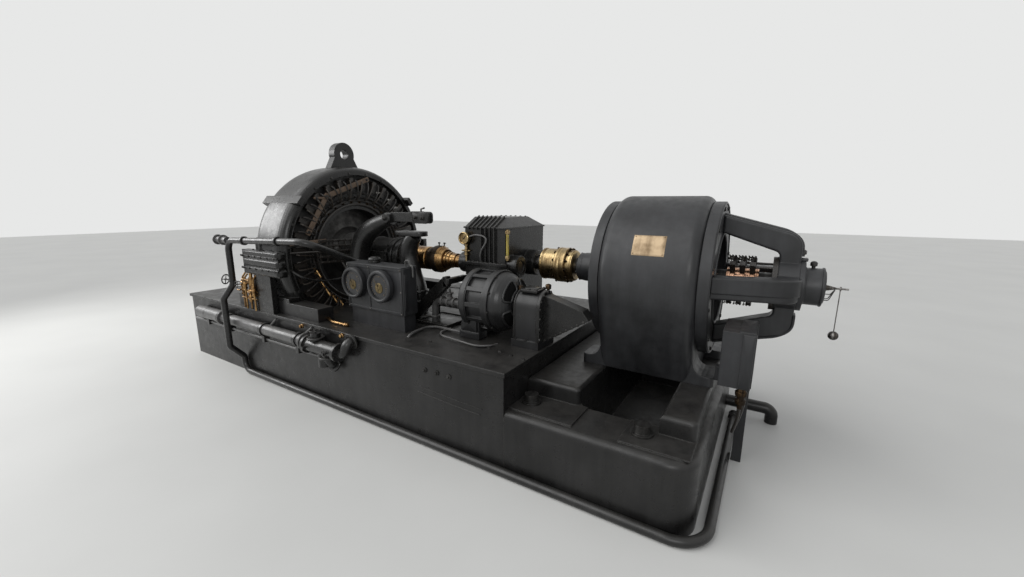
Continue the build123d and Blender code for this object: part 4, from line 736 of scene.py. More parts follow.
def makeCouplings(s):
    y, z = s["fast"]
    addPiece("fastFlange", stamped(turned(s["shell"], 64), (s["shellX"], y, z), (1, 0, 0)), "darkBrass",
             body="alternator_rotor", crease=28)
    places, _ = polar(s["fastBoltX"], y, z, s["fastCircle"], np.arange(s["fastBolts"]) * 45 + 12)
    knobs, knobOut = polar(0, y, z, s["knobCircle"], s["knobAngles"])
    knobs[:, 0] = s["knobX"]
    knob = turned([(0, 0), (0.55, 0), (0.5, 1.6), (1, 1.7), (1.05, 2.5), (0.8, 2.9), (0, 3.0)], 14)
    addPiece("fastBolts", [alongBolts(places, s["fastBolt"]), stamped(knob, knobs, knobOut, (1, 0, 0), s["knob"])],
             "darkSteel", body="alternator_rotor")
    addPiece("fastSteps", [collar((x, y, z), *size) for x, *size in s["steps"]], "warmBrass",
             body="alternator_rotor")
    y, z = s["slow"]
    x, radius, length = s["slowFlange"]
    # two thick rims with a groove between them
    rim = [(s["slowBore"], 0), (radius - 0.006, 0), (radius, 0.005), (radius, length * 0.42),
           (radius - 0.005, length * 0.5), (radius, length * 0.58), (radius, length - 0.005),
           (radius - 0.006, length), (s["slowBore"], length), (s["slowBore"], 0)]
    rings = [stamped(turned(rim, 72), (x, y, z), (1, 0, 0))]
    rings += [collar((ringX, y, z), *size) for ringX, *size in s["slowRings"]]
    addPiece("slowFlange", rings, "brass", body="motor_rotor")
    angles = np.arange(s["slowBolts"]) * 360 / s["slowBolts"] + 8
    ahead, _ = polar(x + length, y, z, s["slowCircle"], angles)
    behind, _ = polar(x, y, z, s["slowCircle"], angles)
    addPiece("slowBolts", [stamped(domeNut, ahead, (1, 0, 0), (0, 0.2, 1), s["slowBolt"]),
                           alongBolts(behind, s["slowBolt"], -1)], "darkBrass", body="motor_rotor")
    neckX, *neck = s["neck"]
    spots, _ = polar(s["neckBoltX"], y, z, s["neckCircle"], np.arange(6) * 60 + 20)
    addPiece("neckRing", [collar((neckX, y, z), *neck),
                          stamped(turned(s["cone"], 64), (s["coneX"], y, z), (1, 0, 0)),
                          alongBolts(spots, s["neckBolt"], -1)], "motorPaint")


makeCouplings(couplings)
print("couplings dressed")

# Gear case: bolts along the split flange, bosses, gauge with its pipe, sight glass.
# A boss is its y, bolt circle, number of bolts and its cover's two radii; clear is the room each shaft needs.
gearCase = {"x": (0.69, 1.12), "y": (-0.3085, 0.3775), "axisZ": 1.28, "top": 1.306, "boltSize": 0.0085,
            "reach": 0.014, "pitch": (0.046, 0.052), "clear": ((-0.205, 0.115), (0.115, 0.135)),
            "bosses": ((-0.205, 0.078, 6, 0.052, 0.094), (0.115, 0.096, 8, 0.068, 0.115)), "bossBolt": 0.011,
            "ridgeZ": 1.698, "ridgePitch": 0.055, "ridgeBolt": 0.008,
            "gauge": (0.712, -0.3545, 1.513, 0.05), "cockZ": 1.355, "handleZ": 1.40,
            "gaugePipe": [(0.755, -0.347, 1.525), (0.83, -0.352, 1.548), (0.917, -0.352, 1.543),
                          (0.957, -0.352, 1.517), (0.943, -0.352, 1.475), (0.893, -0.352, 1.41),
                          (0.879, -0.346, 1.35), (0.879, -0.323, 1.306)],
            "tube": (1.134, -0.2945), "tubeZ": (1.376, 1.47, 1.562), "tubeRadius": 0.0128}


def makeGearCase(s):
    (left, right), (front, rear) = s["x"], s["y"]
    reach, top = s["reach"], s["top"]
    along = np.arange(left + 0.012, right, s["pitch"][0])
    across = np.arange(front + 0.02, rear, s["pitch"][1])
    spots = np.concatenate([spotsOf(along, front - reach, top), spotsOf(along, rear + reach, top),
                            spotsOf(left - reach, across, top), spotsOf(right + reach, across, top)])
    # the rows at the two ends leave out the bolts where a shaft's boss is
    keep = np.all([np.abs(spots[:, 1] - boss) > room for boss, room in s["clear"]], axis=0)
    keep |= np.abs(spots[:, 0] - (left + right) / 2) < (right - left) / 2
    bolts, covers = [topBolts(spots[keep], s["boltSize"])], []
    for y, circle, count, inner, outer in s["bosses"]:
        cover = turned(band(inner, outer, 0.012, 0.003), 56)
        for end, side in ((left, -1), (right, 1)):
            places, _ = polar(end + side * 0.0885, y, s["axisZ"], circle, np.arange(count) * 360 / count + 15)
            bolts.append(alongBolts(places, s["bossBolt"], side))
            covers.append(stamped(cover, (end + side * 0.086, y, s["axisZ"]), (side, 0, 0)))
    ridge = np.arange(left + 0.05, right - 0.1, s["ridgePitch"])
    bolts.append(topBolts(spotsOf(ridge, rear - 0.17, s["ridgeZ"]), s["ridgeBolt"]))
    addPiece("caseBolts", bolts, "darkSteel")
    addPiece("bossCovers", covers, "machinePaint")
    gx, gy, gz, gr = s["gauge"]
    rim = [(gr * 0.86, -0.002), (gr * 1.08, -0.002), (gr * 1.14, 0.003), (gr * 1.10, 0.012), (gr * 0.98, 0.016),
           (gr * 0.88, 0.011), (gr * 0.86, -0.002)]
    cock = [(0, 0), (0.019, 0), (0.022, 0.004), (0.022, 0.018), (0.014, 0.022), (0.014, 0.034), (0.024, 0.040),
            (0.024, 0.052), (0.015, 0.058), (0.012, 0.085), (0.020, 0.09), (0.020, 0.104), (0.0, 0.106)]
    face = [(0, 0.0035), (gr * 0.5, 0.003), (gr * 0.9, 0.002), (gr * 0.9, -0.001), (0, -0.001)]
    handle = [(gx - 0.05, gy + 0.03, s["handleZ"]), (gx + 0.045, gy + 0.03, s["handleZ"])]
    addPiece("gaugeBody", [stamped(turned(rim, 48), (gx, gy, gz), (0, -1, 0)),
                           stamped(turned(cock, 20), (gx, gy + 0.03, s["cockZ"]), (0, 0, 1), (1, 0, 0)),
                           pipe(handle, 0.0065, 10),
                           stamped(turned(face, 40), (gx, gy, gz), (0, -1, 0))], "brass")
    needle = bar((gx - 0.012, gy - 0.0065, gz - 0.012), (gx + 0.024, gy - 0.0065, gz + 0.024), 0.005, 0.0015,
                 (0, -1, 0), 0.001, 0.0004)
    hub = stamped(turned([(0, 0), (0.006, 0), (0.005, 0.005), (0, 0.006)], 14), (gx, gy - 0.004, gz), (0, -1, 0))
    # marks: short bars on a circle, each along its own radius
    angle = np.radians(np.arange(-40, 221, 20))
    spots = spotsOf(gx + 0.036 * np.cos(angle), gy - 0.0028, gz + 0.036 * np.sin(angle))
    marks = [bar(spot, spot + (0.006 * cos(a), 0, 0.006 * sin(a)), 0.0022, 0.0012, (0, -1, 0), 0.0005, 0.0003)
             for spot, a in zip(spots, angle)]
    addPiece("gaugeNeedle", [needle, hub] + marks, "darkSteel")
    addPiece("gaugePipe", bent(s["gaugePipe"], 0.0075, 12, 0.03), "greyPaint")
    tx, ty = s["tube"]
    addPiece("sightGlass", pipe(spotsOf(tx, ty, s["tubeZ"]), s["tubeRadius"], 18), "yellowGlass")
    fitting = turned([(0, 0), (1.1, 0), (1.1, 0.9), (1.45, 1.0), (1.45, 1.9), (1.1, 2.0), (1.0, 2.9), (0, 2.9)],
                     18, [0, 0, 0, 1, 1, 0, 0, 0])
    addPiece("sightEnds", stamped(fitting, [(tx, ty, 1.335), (tx, ty, 1.60)], [(0, 0, 1), (0, 0, -1)],
                                  (1, 0.1, 0), 0.014), "brass")


makeGearCase(gearCase)
print("gear case dressed")

# Air horns: the CAD's two bent tubes with their real swelling, their feet, bolts, union rings and top plate
horns = {"first": [(-0.545, -0.505, 1.125), (-0.535, -0.505, 1.22), (-0.512, -0.505, 1.34), (-0.455, -0.505, 1.455),
                   (-0.365, -0.505, 1.54), (-0.25, -0.505, 1.60), (-0.13, -0.505, 1.645), (-0.03, -0.505, 1.672)],
         "firstRadius": [0.094, 0.094, 0.097, 0.099, 0.094, 0.084, 0.069, 0.058],
         "second": [(0.205, -0.415, 0.7352), (0.205, -0.415, 0.87), (0.200, -0.415, 0.96), (0.178, -0.415, 1.04),
                    (0.130, -0.415, 1.13), (0.095, -0.415, 1.235), (0.078, -0.415, 1.32), (0.090, -0.415, 1.40),
                    (0.125, -0.415, 1.465), (0.175, -0.415, 1.515)],
         "secondRadius": [0.078, 0.078, 0.079, 0.083, 0.087, 0.089, 0.089, 0.086, 0.079, 0.068],
         "plate": ((-0.06, -0.415, 1.535), (0.30, -0.415, 1.535), 0.14, 0.046),
         "rings": (((0.205, -0.415, 0.885), (0, 0, 1), 0.100), ((0.200, -0.415, 0.965), (-0.2, 0, 1), 0.096)),
         "feet": ((-0.545, -0.505, 1.13), (0.205, -0.415, 0.7352)),
         "boltsAt": ((-0.545, -0.505, 1.152), (0.205, -0.415, 0.757)), "boltCircle": 0.10, "boltSize": 0.010}


def curved(points, values, steps=8):
    # smooth line through all the points: at each point it runs along the line between its two neighbours
    p = np.column_stack([np.asarray(points, float), np.asarray(values, float)])
    p = np.concatenate([2 * p[:1] - p[1:2], p, 2 * p[-1:] - p[-2:-1]])
    t = np.arange(steps)[None, :, None] / steps
    a, b, c, d = (k[:, None] for k in (p[:-3], p[1:-2], p[2:-1], p[3:]))
    line = 0.5 * (2 * b + (c - a) * t + (2 * a - 5 * b + 4 * c - d) * t ** 2 + (3 * b - a - 3 * c + d) * t ** 3)
    line = np.concatenate([line.reshape(-1, 4), p[-2:-1]])
    return line[:, :3], line[:, 3]


def makeHorns(s):
    shapes = []
    for key in ("first", "second"):
        line, radius = curved(s[key], s[key + "Radius"])
        shapes.append(pipe(line, radius, 32))
    foot = [(0, 0), (0.118, 0), (0.12, 0.004), (0.12, 0.02), (0.112, 0.028), (0.09, 0.034), (0.082, 0.05),
            (0, 0.05)]
    shapes.append(stamped(turned(foot, 40), s["feet"], (0, 0, 1), (1, 0, 0)))
    for place, out, radius in s["rings"]:
        shapes.append(stamped(turned(band(0.06, radius, 0.024, 0.006), 40), place, out, (1, 0, 0)))
    left, right, wide, deep = s["plate"]
    shapes.append(bar(left, right, wide, deep, (0, 0, 1), 0.05, 0.006))
    piece = addPiece("hornTubes", shapes, "hornPaint", crease=40)
    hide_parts("air_horns")
    angle = np.radians(np.arange(6) * 60)
    ring = spotsOf(s["boltCircle"] * np.cos(angle), s["boltCircle"] * np.sin(angle), 0)
    places = np.concatenate([ring + spot for spot in s["boltsAt"]])
    addPiece("hornBolts", topBolts(places, s["boltSize"]), "darkSteel")


makeHorns(horns)

# Sloping strut from the bed to the gear case, with its level end
strut = {"line": [(0.205, -0.55, 0.7352), (0.667, -0.55, 1.145), (0.6895, -0.55, 1.15)], "wide": 0.06,
         "deep": 0.09, "rod": [(0.50, -0.43, 0.95), (0.50, -0.437, 1.06), (0.66, -0.437, 1.075),
                               (0.93, -0.46, 1.075)], "rodThick": 0.007}


def makeStrut(s):
    a, b, c = (np.array(k) for k in s["line"])
    lean = np.cross((0, -1, 0), (b - a) / np.linalg.norm(b - a))
    shapes = [bar(a, b, s["wide"], s["deep"], lean, 0.006, 0.003),
              bar(b - (0.02, 0, 0), (c[0], b[1], c[2]), s["deep"], s["wide"], (0, -1, 0), 0.006, 0.003),
              bar((c[0] - 0.005, b[1] - 0.025, c[2]), (c[0] - 0.005, -0.31, c[2]), 0.05, 0.05, (0, 0, 1),
                  0.006, 0.003)]
    addPiece("slopingStrut", shapes, "machinePaint")
    addPiece("strutRod", bent(s["rod"], s["rodThick"], 10, 0.02, 4), "greyPaint")


makeStrut(strut)

# Gauge cabinet: deep dial rims, dished faces with marks and pointers, front frame, screws, cap, bent tube.
# Box is left, right, front, back, low, high.
dial = {"centres": ((-0.0795, 1.12), (0.2605, 1.12)), "front": -0.947, "radius": 0.132, "marks": 25,
        "swing": (-50, 230), "box": (-0.215, 0.50, -0.905, -0.735, 0.885, 1.285), "seam": 0.09,
        "capAt": (0.045, -0.80), "tubeThick": 0.0075}


def makeDials(s):
    r, y = s["radius"], s["front"]
    rim = [(r * 0.80, 0.0004), (r * 0.80, 0.006), (r * 0.84, 0.017), (r * 0.90, 0.021), (r * 0.99, 0.019),
           (r * 1.055, 0.010), (r * 1.06, 0.0), (r * 1.06, -0.030), (r * 1.01, -0.036), (r * 0.97, -0.036),
           (r * 0.80, 0.0004)]
    face = [(0, 0.0046), (r * 0.3, 0.0042), (r * 0.6, 0.0032), (r * 0.805, 0.0015), (r * 0.805, 0.0002),
            (0, 0.0002)]
    hub = [(0, 0), (r * 0.34, 0), (r * 0.35, 0.002), (r * 0.30, 0.005), (r * 0.12, 0.006), (r * 0.09, 0.012),
           (0, 0.013)]
    rims, faces, golds, marks = [], [], [], []
    for x, z in s["centres"]:
        rims.append(stamped(turned(rim, 72), (x, y, z), (0, -1, 0)))
        faces.append(stamped(turned(face, 64), (x, y, z), (0, -1, 0)))
        angle = np.radians(np.linspace(*s["swing"], s["marks"]))
        for k, a in enumerate(angle):
            way = np.array([cos(a), 0, sin(a)])
            inner = r * (0.60 if k % 4 == 0 else 0.66)
            wide = 0.0028 if k % 4 == 0 else 0.0016
            marks.append(bar(np.array([x, y - 0.0038, z]) + way * inner,
                             np.array([x, y - 0.0030, z]) + way * r * 0.72, wide, 0.0012, (0, -1, 0), 0.0006,
                             0.0003))
        golds.append(stamped(turned(hub, 40), (x, y - 0.004, z - 0.012), (0, -1, 0)))
        golds.append(bar((x + 0.018, y - 0.0125, z - 0.03), (x - 0.048, y - 0.0125, z + 0.052), 0.006, 0.0016,
                         (0, -1, 0), 0.002, 0.0005))
    addPiece("dialRims", rims, "cabinetPaint")
    addPiece("dialDishes", faces, "dialFace")
    addPiece("dialMarks", marks, "paleBrass")
    addPiece("dialHubs", golds, "darkGold")
    x0, x1, y0, y1, z0, z1 = s["box"]
    high, low, near, far = z1 - 0.014, z0 + 0.014, x0 + 0.022, x1 - 0.022
    seam, middle = s["seam"], (y0 + y1) / 2
    strips = [bar((x0 + 0.012, y0, z), (x1 - 0.012, y0, z), 0.026, 0.012, (0, -1, 0)) for z in (high, low)]
    strips += [bar((x, y0, z0 + 0.01), (x, y0, z1 - 0.01), 0.024, 0.012, (0, -1, 0)) for x in (near, far)]
    strips += [bar((x0 + 0.01, middle, z1 + 0.002), (x1 - 0.01, middle, z1 + 0.002), y1 - y0 + 0.016, 0.014,
                   (0, 0, 1), 0.012, 0.004),
               bar((x1 + 0.001, y0 + 0.03, z1 - 0.05), (x1 + 0.001, y0 + 0.03, z0 + 0.05), 0.03, 0.010, (1, 0, 0)),
               bar((seam, y0, z1 - 0.01), (seam, y0, z0 + 0.01), 0.008, 0.010, (0, -1, 0), 0.002, 0.001)]
    addPiece("cabinetFrame", strips, "cabinetPaint")
    spots = np.array([[x, y0 - 0.006, z] for x in (near, seam, far) for z in (high, low, 0.5 * (z0 + z1))])
    screw = turned([(0, 0), (1, 0), (1, 0.25), (0.7, 0.55), (0, 0.6)], 12)
    addPiece("cabinetScrews", stamped(screw, spots, (0, -1, 0), (0.1, 0, 1), 0.0075), "steel")
    cap = [(0, 0), (0.052, 0), (0.054, 0.006), (0.050, 0.020), (0.056, 0.024), (0.056, 0.034), (0.046, 0.048),
           (0.022, 0.056), (0, 0.058)]
    addPiece("cabinetCap", stamped(turned(cap, 32), (*s["capAt"], z1 + 0.0085), (0, 0, 1), (1, 0, 0)),
             "machinePaint")
    tube = [(0.43, -0.80, z1 + 0.006), (0.43, -0.80, z1 + 0.055), (0.475, -0.80, z1 + 0.06),
            (0.482, -0.80, z1 + 0.02), (0.512, -0.80, z1 + 0.012), (0.513, -0.80, z1 - 0.08)]
    addPiece("cabinetTube", bent(tube, s["tubeThick"], 10, 0.02), "greyPaint")


makeDials(dial)
print("cabinet dressed")

# Pump motor and pump: openings in the domed end shown as near-black sheets of painted shade, with lips; rings,
# foot, bolts, casing flanges, oilers, elbow and valve in front, drip pan and flat pipes on the bed.
# A ring is x, inner radius, outer radius, length; a foot bar is reach, low, high, wide, deep, corner, edge.
pump = {"axis": (-0.54, 1.042), "base": 1.255, "reach": 0.145, "rim": 0.24, "end": 0.092,
        "windows": (45, 135, 225, 315), "span": 31, "from": 47, "to": 80, "lip": 0.009,
        "rings": ((1.236, 0.235, 0.256, 0.022), (1.03, 0.235, 0.2555, 0.012)), "footX": 1.035,
        "foot": ((0.122, 0.735, 0.80, 0.20, 0.115, 0.01, 0.005), (0.17, 0.80, 0.93, 0.15, 0.022, 0.008, 0.004)),
        "boltX": 1.258, "boltCircle": 0.247, "half": 0.134, "shoulder": 0.90, "sole": 0.797,
        "face": (1.622, 1.652), "back": (1.42, 1.436), "faceCircle": 0.124,
        "faceAngles": [8, 38, 66, 94, 122, 150, 176], "faceLow": (0.98, 0.90, 0.82),
        "topX": (1.465, 1.526, 1.587), "topZ": 1.179, "plinthX": (1.44, 1.535, 1.63),
        "elbow": [(0.512, -0.54, 0.757), (0.518, -0.54, 0.963), (0.94, -0.54, 0.963)],
        "elbowRings": (0.60, 0.668, 0.735, 0.80, 0.88), "valve": (0.69, -0.54, 0.985),
        "pan": [(0.34, -0.605, 0.759), (0.70, -0.605, 0.759), (0.70, -0.255, 0.759), (0.34, -0.255, 0.759),
                (0.34, -0.605, 0.759)],
        "loop": [(0.946, -0.655, 0.752), (0.80, -0.65, 0.752), (0.62, -0.645, 0.752), (0.553, -0.70, 0.752),
                 (0.566, -0.86, 0.752), (0.60, -0.95, 0.752), (0.60, -0.97, 0.735)],
        "thinLoop": [(0.75, -0.61, 0.748), (0.735, -0.72, 0.748), (0.80, -0.80, 0.748), (1.20, -0.86, 0.748),
                     (1.30, -0.80, 0.748), (1.30, -0.70, 0.735)]}


def makePump(s):
    y, z = s["axis"]

    def dome(turn, angle, lift):
        # the domed end: x grows by the sine of the turn while the radius falls with its cosine
        x = s["base"] + (s["reach"] + lift) * np.sin(turn)
        radius = s["end"] + (s["rim"] - s["end"] + lift) * np.cos(turn)
        return np.stack([x + 0 * angle, y + radius * np.cos(angle), z + radius * np.sin(angle)], -1)

    across = np.linspace(-1, 1, 12)[:, None]
    around = np.linspace(-1, 1, 15)[None]
    turn = np.radians(np.linspace(s["from"], s["to"], 12))[:, None] + 0 * around
    # the opening narrows in angle where its corners round off
    corner = np.clip(1 - np.abs(across) ** 6 * 0.25, 0, 1)
    shadeSheets, lips = [], []
    for middle in s["windows"]:
        angle = np.radians(middle + s["span"] * around * corner)
        # each opening is a near-black sheet just under the dome's surface: painted shade of the motor's dark
        # inside, not a hole
        shadeSheets.append(plate(dome(turn, angle, 0.0025), dome(turn, angle, -0.004)))
        edge = dome(turn, angle, 0.004)
        loop = np.concatenate([edge[:, 0], edge[-1, 1:], edge[::-1, -1][1:], edge[0, ::-1][1:]])
        lips.append(pipe(loop, s["lip"], 8))
    addPiece("pumpOpeningShade", shadeSheets, "openingShadePaint")
    lips += [collar((x, y, z), *size, 72, edge=0.004) for x, *size in s["rings"]]
    neck = turned([(0.05, 0), (0.094, 0), (0.094, 0.012), (0.07, 0.022), (0.05, 0.024), (0.05, 0)], 40)
    lips.append(stamped(neck, (1.396, y, z), (1, 0, 0)))
    for side in (-1, 1):
        for reach, low, high, wide, deep, *rounding in s["foot"]:
            at = y + side * reach
            lips.append(bar((s["footX"], at, low), (s["footX"], at, high), wide, deep, (0, side, 0), *rounding))
    addPiece("pumpLips", lips, "pumpPaint")
    # pump casing: arch-shaped end flanges, top plates, boss
    half, shoulder, sole = s["half"], s["shoulder"], s["sole"]
    arch = np.radians(np.linspace(0, 180, 25))
    outline = np.concatenate([np.column_stack([y + half * np.cos(arch), z + half * np.sin(arch)]),
                              [[y - half, shoulder], [y - half, sole], [y, sole], [y + half, sole],
                               [y + half, shoulder]]])
    boss = turned([(0, 0), (0.05, 0), (0.052, 0.004), (0.046, 0.022), (0.03, 0.026), (0, 0.026)], 32)
    addPiece("pumpFlanges", [prism(outline, *s["face"], 0.004),
                             prism((outline - (y, z)) * (0.93, 0.955) + (y, z), *s["back"], 0.004),
                             bar((1.452, y, 1.168), (1.60, y, 1.168), 0.15, 0.022, (0, 0, 1), 0.01, 0.004),
                             bar((1.47, y, 1.182), (1.58, y, 1.182), 0.10, 0.012, (0, 0, 1), 0.02, 0.004),
                             stamped(boss, (1.402, y, z), (1, 0, 0))], "machinePaint")
    rimBolts, _ = polar(s["boltX"], y, z, s["boltCircle"], np.arange(10) * 36 + 10)
    faceX = s["face"][1]
    faceBolts, _ = polar(faceX, y, z, s["faceCircle"], s["faceAngles"])
    low = [[faceX, y + side * s["faceCircle"], k] for side in (-1, 1) for k in s["faceLow"]]
    top = [[x, y + side * 0.062, s["topZ"]] for x in s["topX"] for side in (-1, 1)]
    step = np.arange(8)
    cover = spotsOf(1.66 + 0.044 * step, y - 0.0555, 0.80 + 0.0267 * step)
    addPiece("pumpBolts", [alongBolts(rimBolts, 0.009), alongBolts(np.concatenate([faceBolts, low]), 0.0095),
                           topBolts(top, 0.009), topBolts(spotsOf(s["plinthX"], y - 0.125, 0.795), 0.010),
                           stamped(hexBolt, cover, (0, -1, 0), (0, 0.2, 1), 0.008)], "darkSteel")
    cup = turned([(0, 0), (0.012, 0), (0.012, 0.02), (0.022, 0.024), (0.024, 0.05), (0.018, 0.06),
                  (0.006, 0.064), (0, 0.066)], 20)
    addPiece("pumpOiler", stamped(cup, [(1.415, y, z + 0.09), (1.62, y + 0.07, 1.15)], (0, 0, 1), (1, 0, 0)),
             "darkBrass")
    stem = turned([(0, 0), (0.034, 0), (0.036, 0.02), (0.022, 0.03), (0.022, 0.05), (0.034, 0.055),
                   (0.034, 0.066), (0.01, 0.07), (0.008, 0.10), (0, 0.10)], 24)
    foot, _, end = s["elbow"]
    addPiece("pumpElbow", [bent(s["elbow"], 0.030, 20, 0.07, 7),
                           collar(spotsOf(s["elbowRings"], end[1], end[2]), 0.026, 0.047, 0.02, 28, edge=0.004),
                           stamped(stem, s["valve"], (0, 0, 1), (1, 0, 0)),
                           stamped(turned(band(0.026, 0.046, 0.02, 0.004), 28), (foot[0], foot[1], 0.80),
                                   (0, 0, 1), (1, 0, 0))], "greyPaint")
    addPiece("dripPan", [bar((0.335, -0.43, 0.745), (0.70, -0.43, 0.745), 0.36, 0.02, (0, 0, 1), 0.03, 0.004),
                         bent(s["pan"], 0.007, 8, 0.03)], "pipePaint")
    addPiece("bedPipes", [bent(s["loop"], 0.012, 12, 0.05, 6), bent(s["thinLoop"], 0.008, 10, 0.05, 6)],
             "greyPaint")


makePump(pump)
print("pump set dressed")

# Motor end: raised strips on the four arms, shield beads, brush prongs and wires, cups, box cover, valve, leads
motorEnd = {"axis": (0.115, 1.28), "arm": [(2.742, 0.4675), (3.15, 0.3615), (3.2265, 0.30), (3.2265, 0.20)],
            "strip": (-0.076, 0.034), "beads": ((2.7395, 0.5475, 0.008), (2.741, 0.335, 0.010)),
            "rings": (2.815, 2.877, 2.939), "brushAngles": (112, 90, 68, 248, 292), "brushCircle": 0.150,
            "leads": [[(2.975, -0.40, 0.695), (2.96, -0.42, 0.60), (2.985, -0.44, 0.56), (2.98, -0.40, 0.45),
                       (2.955, -0.34, 0.32)],
                      [(2.99, -0.36, 0.695), (3.01, -0.36, 0.58), (2.99, -0.33, 0.44), (2.955, -0.30, 0.30)],
                      [(2.90, 0.0, 0.82), (2.95, -0.10, 0.80), (3.0, -0.143, 0.82)]], "leadThick": 0.010}


def makeMotorEnd(s):
    y, z = s["axis"]
    # a strip follows the arm's line of (x, radius); its lift is along the line's own outward direction
    line = route([(x, 0, r) for x, r in s["arm"]], 0.075, 10)[:, [0, 2]]
    ahead = np.gradient(line, axis=0)
    out = np.column_stack([-ahead[:, 1], ahead[:, 0]]) / np.linalg.norm(ahead, axis=1, keepdims=True)
    low, high = s["strip"]
    side = np.array([low, low + 0.003, low + 0.007, high - 0.007, high - 0.003, high])
    lift = np.array([0.0005, 0.007, 0.010, 0.010, 0.007, 0.0005])
    strips = []
    for a in np.radians([0, 90, 180, 270]):
        sheets = []
        for rise in (lift, lift * 0 - 0.004):
            spot = line[:, None] + out[:, None] * rise[None, :, None]
            x, r, t = spot[..., 0], spot[..., 1], side[None] + 0 * spot[..., 0]
            sheets.append(np.stack([x, y + r * cos(a) - t * sin(a), z + r * sin(a) + t * cos(a)], -1))
        strips.append(plate(*sheets))
    strips += [ringAt(x, y, z, radius, thick, 128, 10) for x, radius, thick in s["beads"]]
    strips.append(collar([(3.25, y, z), (3.35, y, z)], 0.12, 0.131, 0.016, 56, edge=0.004))
    strips.append(bar((3.20, y, 1.458), (3.265, y, 1.458), 0.07, 0.02, (0, 0, 1), 0.008, 0.004))
    addPiece("motorStrips", strips, "motorPaint")
    prongs, wires = [], []
    clip = turned([(0, 0), (1, 0), (1, 0.5), (0.5, 0.7), (0.45, 4.2), (0.9, 4.4), (0.9, 5.2), (0, 5.3)], 10)
    for x in s["rings"]:
        spots, ways = polar(x, y, z, s["brushCircle"], s["brushAngles"])
        for shift in (-0.016, 0.0, 0.016):
            prongs.append(stamped(clip, spots + (shift, 0, 0), ways + (shift * 9, 0, 0), (1, 0.1, 0.1), 0.0062))
        for spot, way in zip(spots, ways):
            mid = spot + way * 0.022
            wires.append(bent([spot + (0.016, 0, 0), mid + (0.027, 0, 0), mid + (0.02, 0, 0), mid + (-0.02, 0, 0)],
                              0.0035, 6, 0.008, 4))
            wires.append(bar(mid - (0.024, 0, 0), mid + (0.024, 0, 0), 0.016, 0.004, way, 0.003, 0.001))
        across = polar(x, y, z, 0.176, (118, 62))[0]
        wires.append(pipe([across[0], across.mean(0) + (0, 0, 0.012), across[1]], 0.005, 8))
    tip = np.array([3.452, y, z])
    for a in np.radians([250, 290, 200]):
        foot = np.array([3.372, y + 0.085 * cos(a), z + 0.085 * sin(a)])
        wires.append(bent([foot, foot + (0.03, 0, 0), tip + (-0.02, 0.012 * cos(a), 0.012 * sin(a))], 0.0028, 6,
                          0.01, 4))
    addPiece("brushProngs", prongs, "darkBrass")
    addPiece("brushWires", wires, "darkSteel")
    cup = [(0, 0), (0.011, 0), (0.011, 0.012), (0.02, 0.016), (0.021, 0.036), (0.015, 0.044), (0.007, 0.047),
           (0, 0.048)]
    addPiece("greaseCup", stamped(turned(cup, 20), [(3.30, y, z + 0.124), (3.232, y, 1.478)], (0, 0, 1), (1, 0, 0)),
             "darkSteel")
    shell = [bar((2.9955, -0.4925, 1.046), (2.9955, -0.4925, 0.694), 0.066, 0.014, (0, -1, 0), 0.005, 0.004),
             bar((2.939, -0.315, 1.052), (3.028, -0.315, 1.052), 0.345, 0.012, (0, 0, 1), 0.006, 0.003),
             bar((3.031, -0.315, 1.04), (3.031, -0.315, 0.70), 0.33, 0.008, (1, 0, 0), 0.006, 0.003)]
    addPiece("terminalCover", shell, "cabinetPaint")
    valve = [(0, 0), (0.016, 0), (0.016, 0.03), (0.030, 0.034), (0.032, 0.06), (0.022, 0.066), (0.022, 0.085),
             (0.034, 0.09), (0.036, 0.115), (0.026, 0.124), (0.022, 0.15), (0, 0.152)]
    addPiece("terminalValve", stamped(turned(valve, 24), (2.985, -0.445, 0.545), (0, 0, 1), (1, 0, 0)), "darkBrass")
    addPiece("terminalLeads", [bent(line, s["leadThick"], 10, 0.05) for line in s["leads"]], "coilWrap")


makeMotorEnd(motorEnd)
print("motor end dressed")

# Left end: brass cocks and pipes beside the cooling header, handwheels, stubs, clamps, straps and bolts
leftEnd = {"cocks": [(-1.60, -1.145, 0.86), (-1.515, -1.165, 0.93), (-1.455, -1.15, 0.80), (-1.33, -1.175, 0.87)],
           "levels": (0.845, 0.925, 1.005), "levelEnds": ((-1.61, -1.32), (-1.56, -1.30), (-1.62, -1.40)),
           "wheel": (-1.93, -1.16, 1.0), "railZ": 1.44, "strapZ": (1.30, 1.18)}


def wheelAt(place, out, radius):
    # a small handwheel: rim, four spokes and a hub on its spindle
    place, axes = np.asarray(place, float), axesOf(out, (0.1, 0.2, 1))[0]
    angle = np.radians(np.linspace(0, 360, 33))
    rim = place + radius * (np.cos(angle)[:, None] * axes[:, 0] + np.sin(angle)[:, None] * axes[:, 1])
    shapes = [pipe(np.concatenate([rim, rim[1:2]]), radius * 0.13, 8)]
    for k in range(4):
        shapes.append(pipe([place, rim[k * 8]], radius * 0.08, 8))
    shapes.append(stamped(turned([(0, 0), (0.22, 0), (0.25, 0.1), (0.25, 0.35), (0.12, 0.5), (0.12, 1.2), (0, 1.2)],
                                 16), place + axes[:, 2] * radius * 0.2, -axes[:, 2], (0.1, 0.2, 1), radius))
    return joined(shapes)


